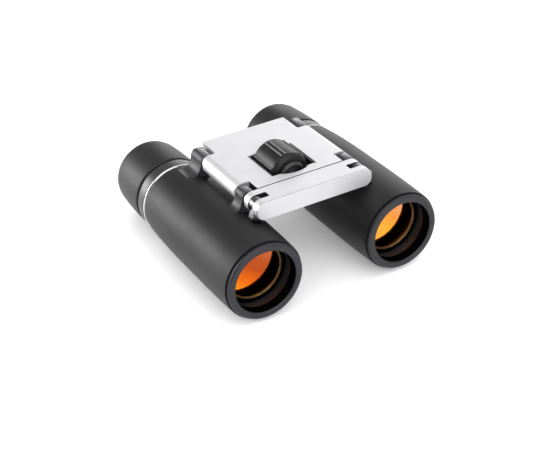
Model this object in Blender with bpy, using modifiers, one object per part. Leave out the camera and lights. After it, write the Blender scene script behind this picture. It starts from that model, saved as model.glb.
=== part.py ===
"""Folding pocket binoculars with a double hinge, as separate named solids.

Frame: metres, +Z up, +Y along the optical axes from the objectives to the eyecups, +X to the right
seen from behind the objectives. The barrels stand fully open and lie on the floor at Z = 0.
Lengths along the barrels are measured from the objective rim plane and are written in millimetres.
"""
import math

import bmesh
import bpy
from mathutils import Matrix, Vector

MM = 0.001                      # one millimetre in metres
GAP = 0.3                       # clearance between touching pieces

# Overall
LENGTH = 108.6                  # objective rim to the rear edge of an eyecup
AXIS_X = 33.0                   # half the spacing of the optical axes, fully open
BODY_R = 18.2                   # widest radius of the rubber armour, which rests on the floor
AXIS_Z = BODY_R

# Hinges and bridge
BRIDGE_TOP = 44.5
KNUCKLE_R = 3.9                 # half the thickness of the bridge
EDGE_X = 23.7                   # half the spacing of the centres of the bridge's rounded sides
EDGE_Z = BRIDGE_TOP - KNUCKLE_R
BRIDGE_BOTTOM = EDGE_Z - KNUCKLE_R
BRIDGE_FAR = EDGE_X + KNUCKLE_R + 2.0   # clear outside the bridge, for cutters
HINGE_X = 24.2                  # half the spacing of the two hinge axes
HINGE_Z = 41.1
EYE_R = 3.3                     # radius of the lugs' eyes round the hinge axes
LUG_HALF_WIDTH = 2.5
LUG_FOOT_R = 15.5
POCKET = (2.6, 9.8)             # opening of the armour for a lug, inboard of the barrel axis
PIN_R = 1.5
PIN_BORE_R = PIN_R + GAP
BRIDGE_FRONT = 26.6
BRIDGE_REAR = 75.1
NOTCH_X = 20.5                  # where the bridge is cut back for the barrels' lugs
KNUCKLE_FRONT = 33.7
KNUCKLE_REAR = 62.6
FRONT_LUG = (27.0, 33.3)
REAR_LUG = (63.0, 74.9)

# Window in the bridge and the focus wheel in it
WINDOW_X = 10.7
WINDOW_FRONT = 31.5
WINDOW_REAR = 52.5
WHEEL_Z = 41.2
WHEEL_R = 9.3
SPINDLE_R = 1.5
BUSH_R = 2.3

# Front bridge, which the focus spindle pushes forward
FRONT_BRIDGE = (14.8, 26.2)
SLOT = (18.8, 22.4)             # gap between its two knuckles, where the carrier ring sits
SLOT_X = 19.3
NUT_R = 2.4

# Barrel
TUBE_R = 16.3
TUBE_BORE_R = 14.9
RIM_R = 17.0
RIM_BORE_R = 13.8
CELL_R = 14.5
CARRIER_TRAVEL = 2.6
CARRIER_ARM = (19.1, 22.1)
CARRIER_RING_R = 3.1            # ring of the carrier arm round the hinge pin
CARRIER_HALF_WIDTH = 1.5
CARRIER_FOOT_R = 13.8

# Rear end of a barrel
ARMOUR_REAR = 76.6
NECK_R = 14.2
NECK_REAR = 80.0
TRIM_R = 17.15
COLLAR_R = 16.9
COLLAR_REAR = 83.7
EYECUP_FRONT = 84.7
EYECUP_R = 17.0

# Number of segments round a turned piece
FINE = 28
COARSE = 16

# Finishes: colour, roughness, metallic
FINISHES = {
    "soft_touch_rubber": ((0.030, 0.031, 0.033), 0.55, 0.0),
    "eyecup_rubber": ((0.036, 0.037, 0.039), 0.60, 0.0),
    "satin_silver": ((0.80, 0.80, 0.81), 0.35, 0.6),
    "dark_plastic": ((0.045, 0.045, 0.050), 0.45, 0.0),
    "slate_bezel": ((0.050, 0.048, 0.058), 0.50, 0.0),
    "chrome": ((0.88, 0.88, 0.88), 0.08, 1.0),
    "ruby_glass": ((0.80, 0.20, 0.03), 0.05, 0.0),
    "clear_glass": ((0.75, 0.80, 0.82), 0.03, 0.0),
    "brass": ((0.55, 0.40, 0.18), 0.35, 1.0),
    "steel": ((0.55, 0.55, 0.56), 0.30, 1.0),
    "wheel_rubber": ((0.028, 0.028, 0.030), 0.50, 0.0),
    "black_plastic": ((0.020, 0.020, 0.022), 0.40, 0.0),
}


def clear_scene():
    """Remove every object of the scene the script starts in."""
    for obj in list(bpy.data.objects):
        bpy.data.objects.remove(obj, do_unlink=True)


def make_collection(name):
    """Make a collection under the scene."""
    collection = bpy.data.collections.new(name)
    bpy.context.scene.collection.children.link(collection)
    return collection


def make_material(name):
    """Make the plain material of one finish."""
    colour, roughness, metallic = FINISHES[name]
    material = bpy.data.materials.new(name)
    material.use_nodes = True
    shader = material.node_tree.nodes["Principled BSDF"]
    shader.inputs["Base Color"].default_value = (*colour, 1.0)
    shader.inputs["Roughness"].default_value = roughness
    shader.inputs["Metallic"].default_value = metallic
    return material


clear_scene()
PARTS = make_collection("folding_binoculars")
CUTTERS = make_collection("cutters")
MATERIALS = {finish: make_material(finish) for finish in FINISHES}


def point(x, y, z):
    """A point in millimetres, y from the rim plane, as a vector in the frame in metres."""
    return Vector((x, y - LENGTH / 2, z)) * MM


def add_object(name, mesh, place=Vector(), turn=(0.0, 0.0, 0.0), finish=None, parent=None):
    """Link a mesh as a part with a finish, or as a hidden cutter without one."""
    obj = bpy.data.objects.new(name, mesh)
    (PARTS if finish else CUTTERS).objects.link(obj)
    obj.rotation_euler = turn
    obj.location = place
    if finish:
        mesh.materials.clear()
        mesh.materials.append(MATERIALS[finish])
    else:
        obj.hide_render = True
        obj.display_type = "WIRE"
    if parent:
        obj.parent = parent
        obj.location = place - parent.location
    return obj


def add_empty(name, place):
    """An empty on a joint axis, for the moving pieces to hang on."""
    empty = bpy.data.objects.new(name, None)
    PARTS.objects.link(empty)
    empty.location = place
    empty.empty_display_size = 5 * MM
    return empty


def turned(name, profile, axis, finish=None, parent=None, steps=FINE):
    """A turned shape about an axis along Y.

    The profile lists (radius, distance from the rim plane), down the outer side from the rear to the
    front and back up the bore. A profile that starts on the axis is solid and stays open.
    """
    mesh = bpy.data.meshes.new(name)
    points = [(radius * MM, 0.0, y * MM) for radius, y in profile]
    edges = [(i, i + 1) for i in range(len(points) - 1)]
    if profile[0][0] > 0:
        edges.append((len(points) - 1, 0))
    mesh.from_pydata(points, edges, [])
    place = point(axis[0], 0.0, axis[1])
    obj = add_object(name, mesh, place, (-math.pi / 2, 0.0, 0.0), finish, parent)
    screw = obj.modifiers.new("turn", "SCREW")
    screw.steps = steps
    screw.render_steps = steps
    screw.use_merge_vertices = True
    screw.merge_threshold = 0.00001
    screw.use_smooth_shade = True
    return obj


def ring(outer, bore, front, rear):
    """Profile of a plain ring."""
    return [(outer, rear), (outer, front), (bore, front), (bore, rear)]


def rod(radius, front, rear):
    """Profile of a plain rod."""
    return [(0.0, rear), (radius, rear), (radius, front), (0.0, front)]


def lens(radius, front, rear, bulge):
    """Profile of a lens that bulges on both faces by the given height."""
    edge_front = front + bulge
    edge_rear = rear - bulge
    inner = radius * 0.6
    step = bulge * 0.36
    return [(0.0, rear), (inner, rear - step), (radius, edge_rear),
            (radius, edge_front), (inner, front + step), (0.0, front)]


def outline_solid(name, outline, span, axis, finish=None, parent=None, holes=()):
    """An outline in X and Z, relative to an axis, extruded along Y between the span's two ends.

    It is drawn as a flat curve, extruded and turned into a welded mesh, so that it can be cut or
    joined. Each hole is a centre and a radius.
    """
    curve = bpy.data.curves.new(name, "CURVE")
    curve.dimensions = "2D"
    curve.fill_mode = "BOTH"
    curve.extrude = (span[1] - span[0]) / 2 * MM
    loops = [outline]
    for centre, radius in holes:
        loops.append(arc(centre, radius, 0.0, 360.0, COARSE)[:-1])
    for loop in loops:
        spline = curve.splines.new("POLY")
        spline.points.add(len(loop) - 1)
        spline.use_cyclic_u = True
        for target, (x, z) in zip(spline.points, loop):
            target.co = (x * MM, z * MM, 0.0, 1.0)
    guide = bpy.data.objects.new(name + "_guide", curve)
    CUTTERS.objects.link(guide)
    depsgraph = bpy.context.evaluated_depsgraph_get()
    mesh = bpy.data.meshes.new_from_object(guide.evaluated_get(depsgraph))
    bpy.data.objects.remove(guide, do_unlink=True)
    mesh.name = name
    work = bmesh.new()
    work.from_mesh(mesh)
    bmesh.ops.remove_doubles(work, verts=work.verts, dist=0.000001)
    bmesh.ops.transform(work, matrix=Matrix.Rotation(math.pi / 2, 4, "X"), verts=work.verts)
    bmesh.ops.recalc_face_normals(work, faces=work.faces)
    work.to_mesh(mesh)
    work.free()
    middle = (span[0] + span[1]) / 2
    return add_object(name, mesh, point(axis[0], middle, axis[1]), finish=finish, parent=parent)


def box(name, low, high, finish=None, tilt=0.0, axis=None):
    """A box between two corners in millimetres, turned about the Y axis by an angle."""
    bpy.ops.mesh.primitive_cube_add(size=1.0)
    scratch = bpy.context.active_object
    mesh = scratch.data
    mesh.name = name
    bpy.data.objects.remove(scratch, do_unlink=True)
    size = [(b - a) * MM for a, b in zip(low, high)]
    centre = [(a + b) / 2 for a, b in zip(low, high)]
    mesh.transform(Matrix.Diagonal((*size, 1.0)))
    if axis is None:
        return add_object(name, mesh, point(*centre), finish=finish)
    mesh.transform(Matrix.Translation(Vector((centre[0], 0.0, centre[2])) * MM))
    return add_object(name, mesh, point(axis[0], centre[1], axis[1]), (0.0, tilt, 0.0), finish)


def combine(obj, other, operation):
    """Cut another solid out of a piece, or join it on."""
    modifier = obj.modifiers.new(operation.lower() + "_" + other.name, "BOOLEAN")
    modifier.operation = operation
    modifier.object = other
    modifier.solver = "EXACT"


def cut(obj, *others):
    """Cut each of the other solids out of a piece."""
    for other in others:
        combine(obj, other, "DIFFERENCE")


def arc(centre, radius, start, end, count):
    """Points on an arc, angles in degrees, counter-clockwise when end is above start."""
    angles = [math.radians(start + (end - start) * i / count) for i in range(count + 1)]
    return [(centre[0] + radius * math.cos(a), centre[1] + radius * math.sin(a)) for a in angles]


def link_outline(side, eye_r, half_width, foot_r):
    """Outline of an arm from an eye round the hinge axis to a foot on a circle about the barrel axis.

    It is relative to the barrel axis. The eye is an arc, the two flanks are parallel to the line from
    the hinge to the barrel axis.
    """
    hinge = Vector((-(AXIS_X - HINGE_X), HINGE_Z - AXIS_Z))
    along = -hinge.normalized()
    across = Vector((-along.y, along.x))
    heading = math.degrees(math.atan2(along.y, along.x))
    opening = math.degrees(math.asin(half_width / eye_r))
    eye = arc(hinge, eye_r, heading + opening, heading + 360.0 - opening, 16)
    reach = hinge.length - math.sqrt(foot_r ** 2 - half_width ** 2)
    feet = [hinge + along * reach + across * offset for offset in (-half_width, half_width)]
    outline = eye + [tuple(foot) for foot in feet]
    if side > 0:
        return outline
    return [(-x, z) for x, z in reversed(outline)]


def stadium_outline():
    """Section of the bridge: a slab with a half round along each side."""
    right = arc((EDGE_X, EDGE_Z), KNUCKLE_R, -90.0, 90.0, 12)
    left = arc((-EDGE_X, EDGE_Z), KNUCKLE_R, 90.0, 270.0, 12)
    return right + left


def build_bridge():
    """The silver bridge, its underside cover and screws, the hinge pins and the spindle's bushes."""
    body = outline_solid("bridge_body", stadium_outline(), (BRIDGE_FRONT, BRIDGE_REAR), (0.0, 0.0),
                         "satin_silver")
    low = BRIDGE_BOTTOM - 2.0
    high = BRIDGE_TOP + 2.0
    for side, word in ((-1, "left"), (1, "right")):
        spans = {"front": (BRIDGE_FRONT - 1.0, KNUCKLE_FRONT), "rear": (KNUCKLE_REAR, BRIDGE_REAR + 1.0)}
        for end, (start, stop) in spans.items():
            xs = sorted((side * NOTCH_X, side * BRIDGE_FAR))
            cut(body, box(f"notch_{word}_{end}", (xs[0], start, low), (xs[1], stop, high)))
        bore = turned(f"bore_{word}", rod(PIN_BORE_R, KNUCKLE_FRONT - 1.0, KNUCKLE_REAR + 1.0),
                      (side * HINGE_X, HINGE_Z), steps=COARSE)
        cut(body, bore)
    cut(body, box("window", (-WINDOW_X, WINDOW_FRONT, low), (WINDOW_X, WINDOW_REAR, high)))
    bush_rear = WINDOW_REAR + 4.2
    cut(body, turned("bush_bore", rod(BUSH_R + GAP, BRIDGE_FRONT - 1.0, bush_rear + GAP),
                     (0.0, WHEEL_Z), steps=COARSE))
    for name, start, stop in (("front_bush", BRIDGE_FRONT + GAP, WINDOW_FRONT - 0.2),
                              ("rear_bush", WINDOW_REAR + 0.2, bush_rear)):
        turned(name, ring(BUSH_R, SPINDLE_R + GAP, start, stop), (0.0, WHEEL_Z), "brass", steps=COARSE)

    cover_x = 18.8
    cover_front = BRIDGE_FRONT + 1.0
    cover_rear = BRIDGE_REAR - 1.1
    cover_bottom = BRIDGE_BOTTOM + 0.2
    cover_top = cover_bottom + 0.9
    roof = cover_top + GAP
    cut(body, box("cover_recess", (-cover_x - GAP, cover_front - GAP, low),
                  (cover_x + GAP, cover_rear + GAP, roof)))
    cover = box("bridge_cover", (-cover_x, cover_front, cover_bottom),
                (cover_x, cover_rear, cover_top), "satin_silver")
    cut(cover, box("cover_window", (-WINDOW_X, WINDOW_FRONT, low), (WINDOW_X, WINDOW_REAR, high)))
    head_r = 1.5
    shank_r = 0.8
    shank_top = 41.4
    screw_x = 15.4
    screw_ys = {"front": 29.8, "rear": 70.8}
    for side, word in ((-1, "left"), (1, "right")):
        for end, y in screw_ys.items():
            name = f"cover_screw_{word}_{end}"
            place = point(side * screw_x, y, 0.0)
            cut(body, upright(name + "_bore", [(shank_r + GAP, roof - 1.0, shank_top + GAP)], place))
            cut(cover, upright(name + "_seat", [(head_r + GAP, low, high)], place))
            upright(name, [(head_r, cover_bottom, cover_top - 0.1), (shank_r, cover_top - 0.1, shank_top)],
                    place, "steel")
        turned(f"{word}_hinge_pin", rod(PIN_R, FRONT_BRIDGE[0] + 1.6, REAR_LUG[1] - 0.3),
               (side * HINGE_X, HINGE_Z), "steel", steps=COARSE)


def build_wheel_well():
    """The black frame that lines the window round the focus wheel, with a lip close under it."""
    wall = 0.6
    lip_top = BRIDGE_BOTTOM + 0.9
    outer_x = WINDOW_X - GAP
    front = WINDOW_FRONT + GAP
    rear = WINDOW_REAR - GAP
    well = box("wheel_well", (-outer_x, front, BRIDGE_BOTTOM + 0.2),
               (outer_x, rear, BRIDGE_TOP - 0.4), "black_plastic")
    cut(well, box("well_room", (wall - outer_x, front + wall, lip_top),
                  (outer_x - wall, rear - wall, BRIDGE_TOP + 2.0)))
    cut(well, box("well_mouth", (-8.8, front + 1.4, BRIDGE_BOTTOM - 2.0), (8.8, rear - 0.7, lip_top + 1.0)))
    cut(well, turned("well_bore", rod(SPINDLE_R + GAP, front - 1.0, rear + 1.0), (0.0, WHEEL_Z),
                     steps=COARSE))


def upright(name, steps, place, finish=None):
    """A stepped round post along Z: each step is a radius, a bottom and a top, listed upward."""
    profile = [(0.0, steps[-1][2])]
    for radius, bottom, top in reversed(steps):
        profile += [(radius, top), (radius, bottom)]
    profile.append((0.0, steps[0][1]))
    mesh = bpy.data.meshes.new(name)
    mesh.from_pydata([(r * MM, 0.0, z * MM) for r, z in profile],
                     [(i, i + 1) for i in range(len(profile) - 1)], [])
    obj = add_object(name, mesh, place, finish=finish)
    screw = obj.modifiers.new("turn", "SCREW")
    screw.steps = 12
    screw.render_steps = 12
    screw.use_merge_vertices = True
    screw.merge_threshold = 0.00001
    return obj


def build_front_bridge():
    """The front bridge and the nut in it that runs on the focus spindle."""
    parent = add_empty("front_bridge_slide", point(0.0, FRONT_BRIDGE[1], WHEEL_Z))
    body = outline_solid("front_bridge", stadium_outline(), FRONT_BRIDGE, (0.0, 0.0), "satin_silver",
                         parent)
    for side, word in ((-1, "left"), (1, "right")):
        xs = sorted((side * SLOT_X, side * BRIDGE_FAR))
        cut(body, box(f"carrier_slot_{word}", (xs[0], SLOT[0], BRIDGE_BOTTOM - 2.0),
                      (xs[1], SLOT[1], BRIDGE_TOP + 2.0)))
        cut(body, turned(f"front_bore_{word}", rod(PIN_BORE_R, FRONT_BRIDGE[0] + 1.3, FRONT_BRIDGE[1] + 1.0),
                         (side * HINGE_X, HINGE_Z), steps=COARSE))
    nut = (FRONT_BRIDGE[0] + 1.5, FRONT_BRIDGE[1] - 0.2)
    cut(body, turned("nut_bore", rod(NUT_R + GAP, nut[0] - GAP, FRONT_BRIDGE[1] + 1.0),
                     (0.0, WHEEL_Z), steps=COARSE))
    turned("focus_nut", ring(NUT_R, SPINDLE_R + GAP, *nut), (0.0, WHEEL_Z), "brass", parent, COARSE)


def build_focus_wheel():
    """The rubber focus wheel, its hub and end cap, the threaded spindle and its clip."""
    axis = (0.0, WHEEL_Z)
    parent = add_empty("focus_axis", point(0.0, WINDOW_FRONT, WHEEL_Z))
    front = WINDOW_FRONT + 2.6
    rear = WINDOW_REAR - 1.3
    hub_r = 6.4
    outside = [(WHEEL_R - 0.7, rear), (WHEEL_R - 0.1, rear - 0.6), (WHEEL_R, rear - 1.4),
               (WHEEL_R, front + 6.5), (WHEEL_R - 0.5, front + 3.6), (WHEEL_R - 1.6, front + 1.2),
               (hub_r - 0.2, front)]
    bore = [(hub_r - 1.1, front), (hub_r - 1.1, front + 1.2), (hub_r, front + 1.2), (hub_r, rear)]
    turned("focus_wheel", outside + bore, axis, "wheel_rubber", parent)
    turned("wheel_hub", ring(hub_r - GAP, SPINDLE_R + GAP, front + 1.5, rear - 0.3), axis,
           "black_plastic", parent, COARSE)
    cap_front = front - 0.7
    cap = [(hub_r - 1.4, front + 1.2), (hub_r - 1.4, cap_front + 0.4), (hub_r - 1.8, cap_front),
           (hub_r - 3.0, cap_front), (hub_r - 3.2, cap_front + 0.6), (SPINDLE_R + GAP, cap_front + 0.6),
           (SPINDLE_R + GAP, front + 1.2)]
    turned("hub_cap", cap, axis, "black_plastic", parent, COARSE)
    turned("focus_spindle", rod(SPINDLE_R, FRONT_BRIDGE[0] + 2.0, WINDOW_REAR + 3.9), axis, "steel",
           parent, COARSE)
    clip_front = cap_front - 0.8
    turned("spindle_clip", ring(3.0, SPINDLE_R + GAP, clip_front, clip_front + 0.5), axis, "steel",
           parent, COARSE)


def build_barrel(side, word):
    """One barrel with its armour, objective carrier, prisms and eyepiece; side is -1 or 1."""
    axis = (side * AXIS_X, AXIS_Z)
    hinge = add_empty(f"{word}_hinge_axis", point(side * HINGE_X, 0.0, HINGE_Z))
    tilt = -side * math.atan2(AXIS_X - HINGE_X, HINGE_Z - AXIS_Z)
    body = build_barrel_body(side, word, axis, hinge)
    armour = build_armour(side, word, axis, hinge)
    slot = box(f"{word}_arm_slot", (-2.3, CARRIER_ARM[0] - CARRIER_TRAVEL - 0.4, 10.0),
               (2.3, CARRIER_ARM[1] + 0.3, 22.0), tilt=tilt, axis=axis)
    cut(body, slot)
    cut(armour, slot)
    bezel = [(RIM_R - 0.1, 2.0), (RIM_R, 0.5), (RIM_R - 0.5, 0.0), (RIM_BORE_R + 0.3, 0.0),
             (RIM_BORE_R, 0.3), (RIM_BORE_R, 5.0), (TUBE_BORE_R - GAP, 5.0), (TUBE_BORE_R - GAP, 2.0)]
    turned(f"{word}_front_bezel", bezel, axis, "slate_bezel", hinge)
    build_objective(side, word, axis, hinge)
    build_prisms(word, axis, hinge)
    trim_front = ARMOUR_REAR + GAP
    turned(f"{word}_trim_ring", ring(TRIM_R, NECK_R + GAP, trim_front, trim_front + 0.9), axis, "chrome",
           hinge)
    build_eyepiece(side, word, axis, hinge)


def build_barrel_body(side, word, axis, hinge):
    """The cast barrel tube with its two hinge lugs."""
    profile = [(NECK_R, NECK_REAR), (NECK_R, ARMOUR_REAR), (TUBE_R, ARMOUR_REAR), (TUBE_R, 2.4),
               (TUBE_BORE_R, 2.4), (TUBE_BORE_R, 74.0), (NECK_R - 1.5, 75.2), (NECK_R - 1.5, NECK_REAR)]
    body = turned(f"{word}_barrel", profile, axis, "dark_plastic", hinge)
    outline = link_outline(side, EYE_R, LUG_HALF_WIDTH, LUG_FOOT_R)
    eye = (-side * (AXIS_X - HINGE_X), HINGE_Z - AXIS_Z)
    for end, span in (("front", FRONT_LUG), ("rear", REAR_LUG)):
        lug = outline_solid(f"{word}_{end}_lug", outline, span, axis, holes=[(eye, PIN_BORE_R)])
        combine(body, lug, "UNION")
    return body


def build_armour(side, word, axis, hinge):
    """The rubber armour round the tube, open where the lugs come through."""
    skin = [(RIM_R, ARMOUR_REAR), (17.6, 71.0), (18.1, 62.0), (BODY_R, 48.0), (BODY_R, 24.0),
            (18.0, 15.0), (17.6, 8.0), (17.3, 3.4), (17.1, 2.3)]
    bore = [(TUBE_R + GAP, 2.3), (TUBE_R + GAP, ARMOUR_REAR)]
    armour = turned(f"{word}_armour", skin + bore, axis, "soft_touch_rubber", hinge)
    for end, (start, stop) in (("front", FRONT_LUG), ("rear", REAR_LUG)):
        xs = sorted(axis[0] - side * edge for edge in POCKET)
        cut(armour, box(f"{word}_{end}_pocket", (xs[0], start - 0.4, AXIS_Z + 8.0),
                        (xs[1], stop + 0.4, HINGE_Z)))
    return armour


def build_objective(side, word, axis, hinge):
    """The sliding objective: cell with its arm and ring, lens and retaining ring."""
    front = 9.6
    rear = 24.0
    bore_r = 13.1
    profile = [(CELL_R, rear), (CELL_R, front), (bore_r, front), (bore_r, front + 6.0),
               (bore_r - 1.0, front + 6.0), (bore_r - 1.0, rear)]
    cell = turned(f"{word}_objective_cell", profile, axis, "black_plastic", hinge)
    outline = link_outline(side, CARRIER_RING_R, CARRIER_HALF_WIDTH, CARRIER_FOOT_R)
    eye = (-side * (AXIS_X - HINGE_X), HINGE_Z - AXIS_Z)
    arm = outline_solid(f"{word}_carrier_arm", outline, CARRIER_ARM, axis, holes=[(eye, PIN_BORE_R)])
    combine(cell, arm, "UNION")
    turned(f"{word}_objective_ring", ring(bore_r - GAP, bore_r - 1.0, front + 0.2, front + 1.2), axis,
           "brass", hinge)
    turned(f"{word}_objective_lens", lens(bore_r - GAP, front + 0.7, front + 5.7, 0.8), axis,
           "ruby_glass", hinge, COARSE)


def build_prisms(word, axis, hinge):
    """The prism cup and the two prisms in it."""
    front = 31.0
    rear = 62.0
    wall_r = TUBE_BORE_R - GAP
    profile = [(wall_r, rear), (wall_r, front), (8.5, front), (8.5, front + 1.4),
               (wall_r - 1.6, front + 1.4), (wall_r - 1.6, rear)]
    turned(f"{word}_prism_cup", profile, axis, "black_plastic", hinge, COARSE)
    for name, outline, span in (("half_prism", [(-7.5, -7.0), (7.5, -7.0), (7.5, 3.0), (-7.5, 9.0)],
                                 (33.5, 46.0)),
                                ("roof_prism", [(-7.5, -8.0), (7.5, -8.0), (7.5, 4.0), (0.0, 10.5),
                                                (-7.5, 4.0)], (46.5, 60.0))):
        outline_solid(f"{word}_{name}", outline, span, axis, "clear_glass", hinge)


def build_eyepiece(side, word, axis, hinge):
    """Collar, eyepiece tube, two lenses and rubber eyecup; the right one turns as the dioptre."""
    parent = hinge
    if side > 0:
        parent = add_empty("dioptre_axis", point(axis[0], COLLAR_REAR, axis[1]))
    collar_front = ARMOUR_REAR + 2 * GAP + 0.9
    turned(f"{word}_collar", ring(COLLAR_R, NECK_R + GAP, collar_front, COLLAR_REAR), axis,
           "dark_plastic", parent)
    tube_front = NECK_REAR + GAP
    sleeve_r = 13.6
    sleeve_rear = 92.6
    tail_r = 11.6
    tail_rear = 101.0
    tube = [(tail_r, tail_rear), (tail_r, sleeve_rear), (sleeve_r, sleeve_rear),
            (sleeve_r, EYECUP_FRONT - GAP), (NECK_R, EYECUP_FRONT - GAP), (NECK_R, tube_front),
            (12.6, tube_front), (12.6, 86.0), (10.2, 86.0), (10.2, tail_rear - 1.0),
            (8.4, tail_rear - 1.0), (8.7, tail_rear)]
    turned(f"{word}_eyepiece_tube", tube, axis, "black_plastic", parent)
    turned(f"{word}_field_lens", lens(12.3, tube_front + 0.4, 85.7, 1.0), axis, "clear_glass", parent,
           COARSE)
    turned(f"{word}_eye_lens", lens(9.9, 94.6, tail_rear - 1.3, 0.8), axis, "clear_glass", parent, COARSE)
    skin = [(13.5, LENGTH), (14.9, LENGTH - 0.35), (15.8, LENGTH - 1.3), (16.3, LENGTH - 3.0),
            (16.7, 98.0), (EYECUP_R, 90.0), (EYECUP_R, EYECUP_FRONT + 0.5),
            (EYECUP_R - 0.4, EYECUP_FRONT)]
    bore = [(sleeve_r + GAP, EYECUP_FRONT), (sleeve_r + GAP, sleeve_rear + GAP),
            (tail_r + GAP, sleeve_rear + GAP), (tail_r + GAP, tail_rear + 0.5), (12.5, LENGTH - 0.6)]
    turned(f"{word}_eyecup", skin + bore, axis, "eyecup_rubber", parent)


def main():
    """Build every sub-assembly."""
    build_bridge()
    build_wheel_well()
    build_front_bridge()
    build_focus_wheel()
    for side, word in ((-1, "left"), (1, "right")):
        build_barrel(side, word)
    bpy.context.view_layer.update()


main()
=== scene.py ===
"""The looks of a pair of folding pocket binoculars, built round its fixed frame.

Everything is in metres in the frame: +Y runs along the optical axes from the objectives to the
eyecups, +X goes to the right across the barrels and +Z is up. The sizes inside the classes are in
millimetres, and the places come from the boxes of the frame's nodes.
"""
from __future__ import annotations

import logging
import math
from dataclasses import dataclass, field
from enum import Enum
from typing import Any, Callable, Sequence

import bmesh
import bpy
from mathutils import Matrix, Vector


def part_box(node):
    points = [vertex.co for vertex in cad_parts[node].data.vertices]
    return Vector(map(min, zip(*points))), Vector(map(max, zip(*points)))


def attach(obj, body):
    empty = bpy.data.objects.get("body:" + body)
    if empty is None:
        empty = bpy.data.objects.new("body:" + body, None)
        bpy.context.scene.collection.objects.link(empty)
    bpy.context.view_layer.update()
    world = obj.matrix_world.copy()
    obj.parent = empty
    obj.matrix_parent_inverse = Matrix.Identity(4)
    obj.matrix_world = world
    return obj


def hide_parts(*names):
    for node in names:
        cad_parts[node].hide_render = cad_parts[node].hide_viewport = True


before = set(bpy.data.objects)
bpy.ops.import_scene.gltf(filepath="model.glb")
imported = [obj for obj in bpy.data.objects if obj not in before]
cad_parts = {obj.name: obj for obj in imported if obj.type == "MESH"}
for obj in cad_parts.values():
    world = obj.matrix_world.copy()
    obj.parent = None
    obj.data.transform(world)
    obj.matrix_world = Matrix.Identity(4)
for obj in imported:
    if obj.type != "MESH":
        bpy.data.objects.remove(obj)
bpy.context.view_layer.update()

log = logging.getLogger("binoculars")

MM = 0.001
OVERRUN = 1.0  # how far a cutter runs past what it cuts, in millimetres
DRILL_SIDES = 48
BEVEL_FROM = 32.0  # edges sharper than this many degrees are bevelled
Point2 = tuple[float, float]
Corner = tuple[float, float, float]


class Side(Enum):
    """The two barrels, with the sign of X on which each lies."""

    LEFT = -1
    RIGHT = 1

    @property
    def word(self) -> str:
        """The side's name, as the nodes have it."""
        return self.name.lower()


# ---------------------------------------------------------------------------------------------
# Shader maths
# ---------------------------------------------------------------------------------------------


class Value:
    """A number socket in a shader tree that takes part in Python arithmetic."""

    def __init__(self, tree: "Shader", socket: bpy.types.NodeSocket) -> None:
        """Keep the tree that new nodes go into and the socket that holds the number."""
        self.tree = tree
        self.socket = socket

    def _with(self, operation: str, first: Any, second: Any) -> "Value":
        """Add a Math node.

        Args:
            operation: The node's operation.
            first: Its first number or Value.
            second: Its second number or Value.

        Returns:
            The result as a Value.
        """
        made = self.tree.add("ShaderNodeMath", {"operation": operation}, {0: first, 1: second})
        return Value(self.tree, made.outputs[0])

    def __add__(self, other: Any) -> "Value":
        """Sum."""
        return self._with("ADD", self, other)

    __radd__ = __add__

    def __sub__(self, other: Any) -> "Value":
        """Difference."""
        return self._with("SUBTRACT", self, other)

    def __rsub__(self, other: Any) -> "Value":
        """Difference from a plain number."""
        return self._with("SUBTRACT", other, self)

    def __mul__(self, other: Any) -> "Value":
        """Product."""
        return self._with("MULTIPLY", self, other)

    __rmul__ = __mul__

    def __truediv__(self, other: Any) -> "Value":
        """Quotient."""
        return self._with("DIVIDE", self, other)

    def __rtruediv__(self, other: Any) -> "Value":
        """Quotient of a plain number."""
        return self._with("DIVIDE", other, self)

    def ramp(self, low: float, high: float) -> "Value":
        """Go smoothly from 0 where the number is low to 1 where it is high."""
        made = self.tree.add(
            "ShaderNodeMapRange",
            {"interpolation_type": "SMOOTHSTEP"},
            {"Value": self, "From Min": low, "From Max": high},
        )
        return Value(self.tree, made.outputs[0])

    def apply(self, operation: str) -> "Value":
        """Another operation of the Math node on this number alone, such as SINE."""
        return self._with(operation, self, 0.0)


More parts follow.
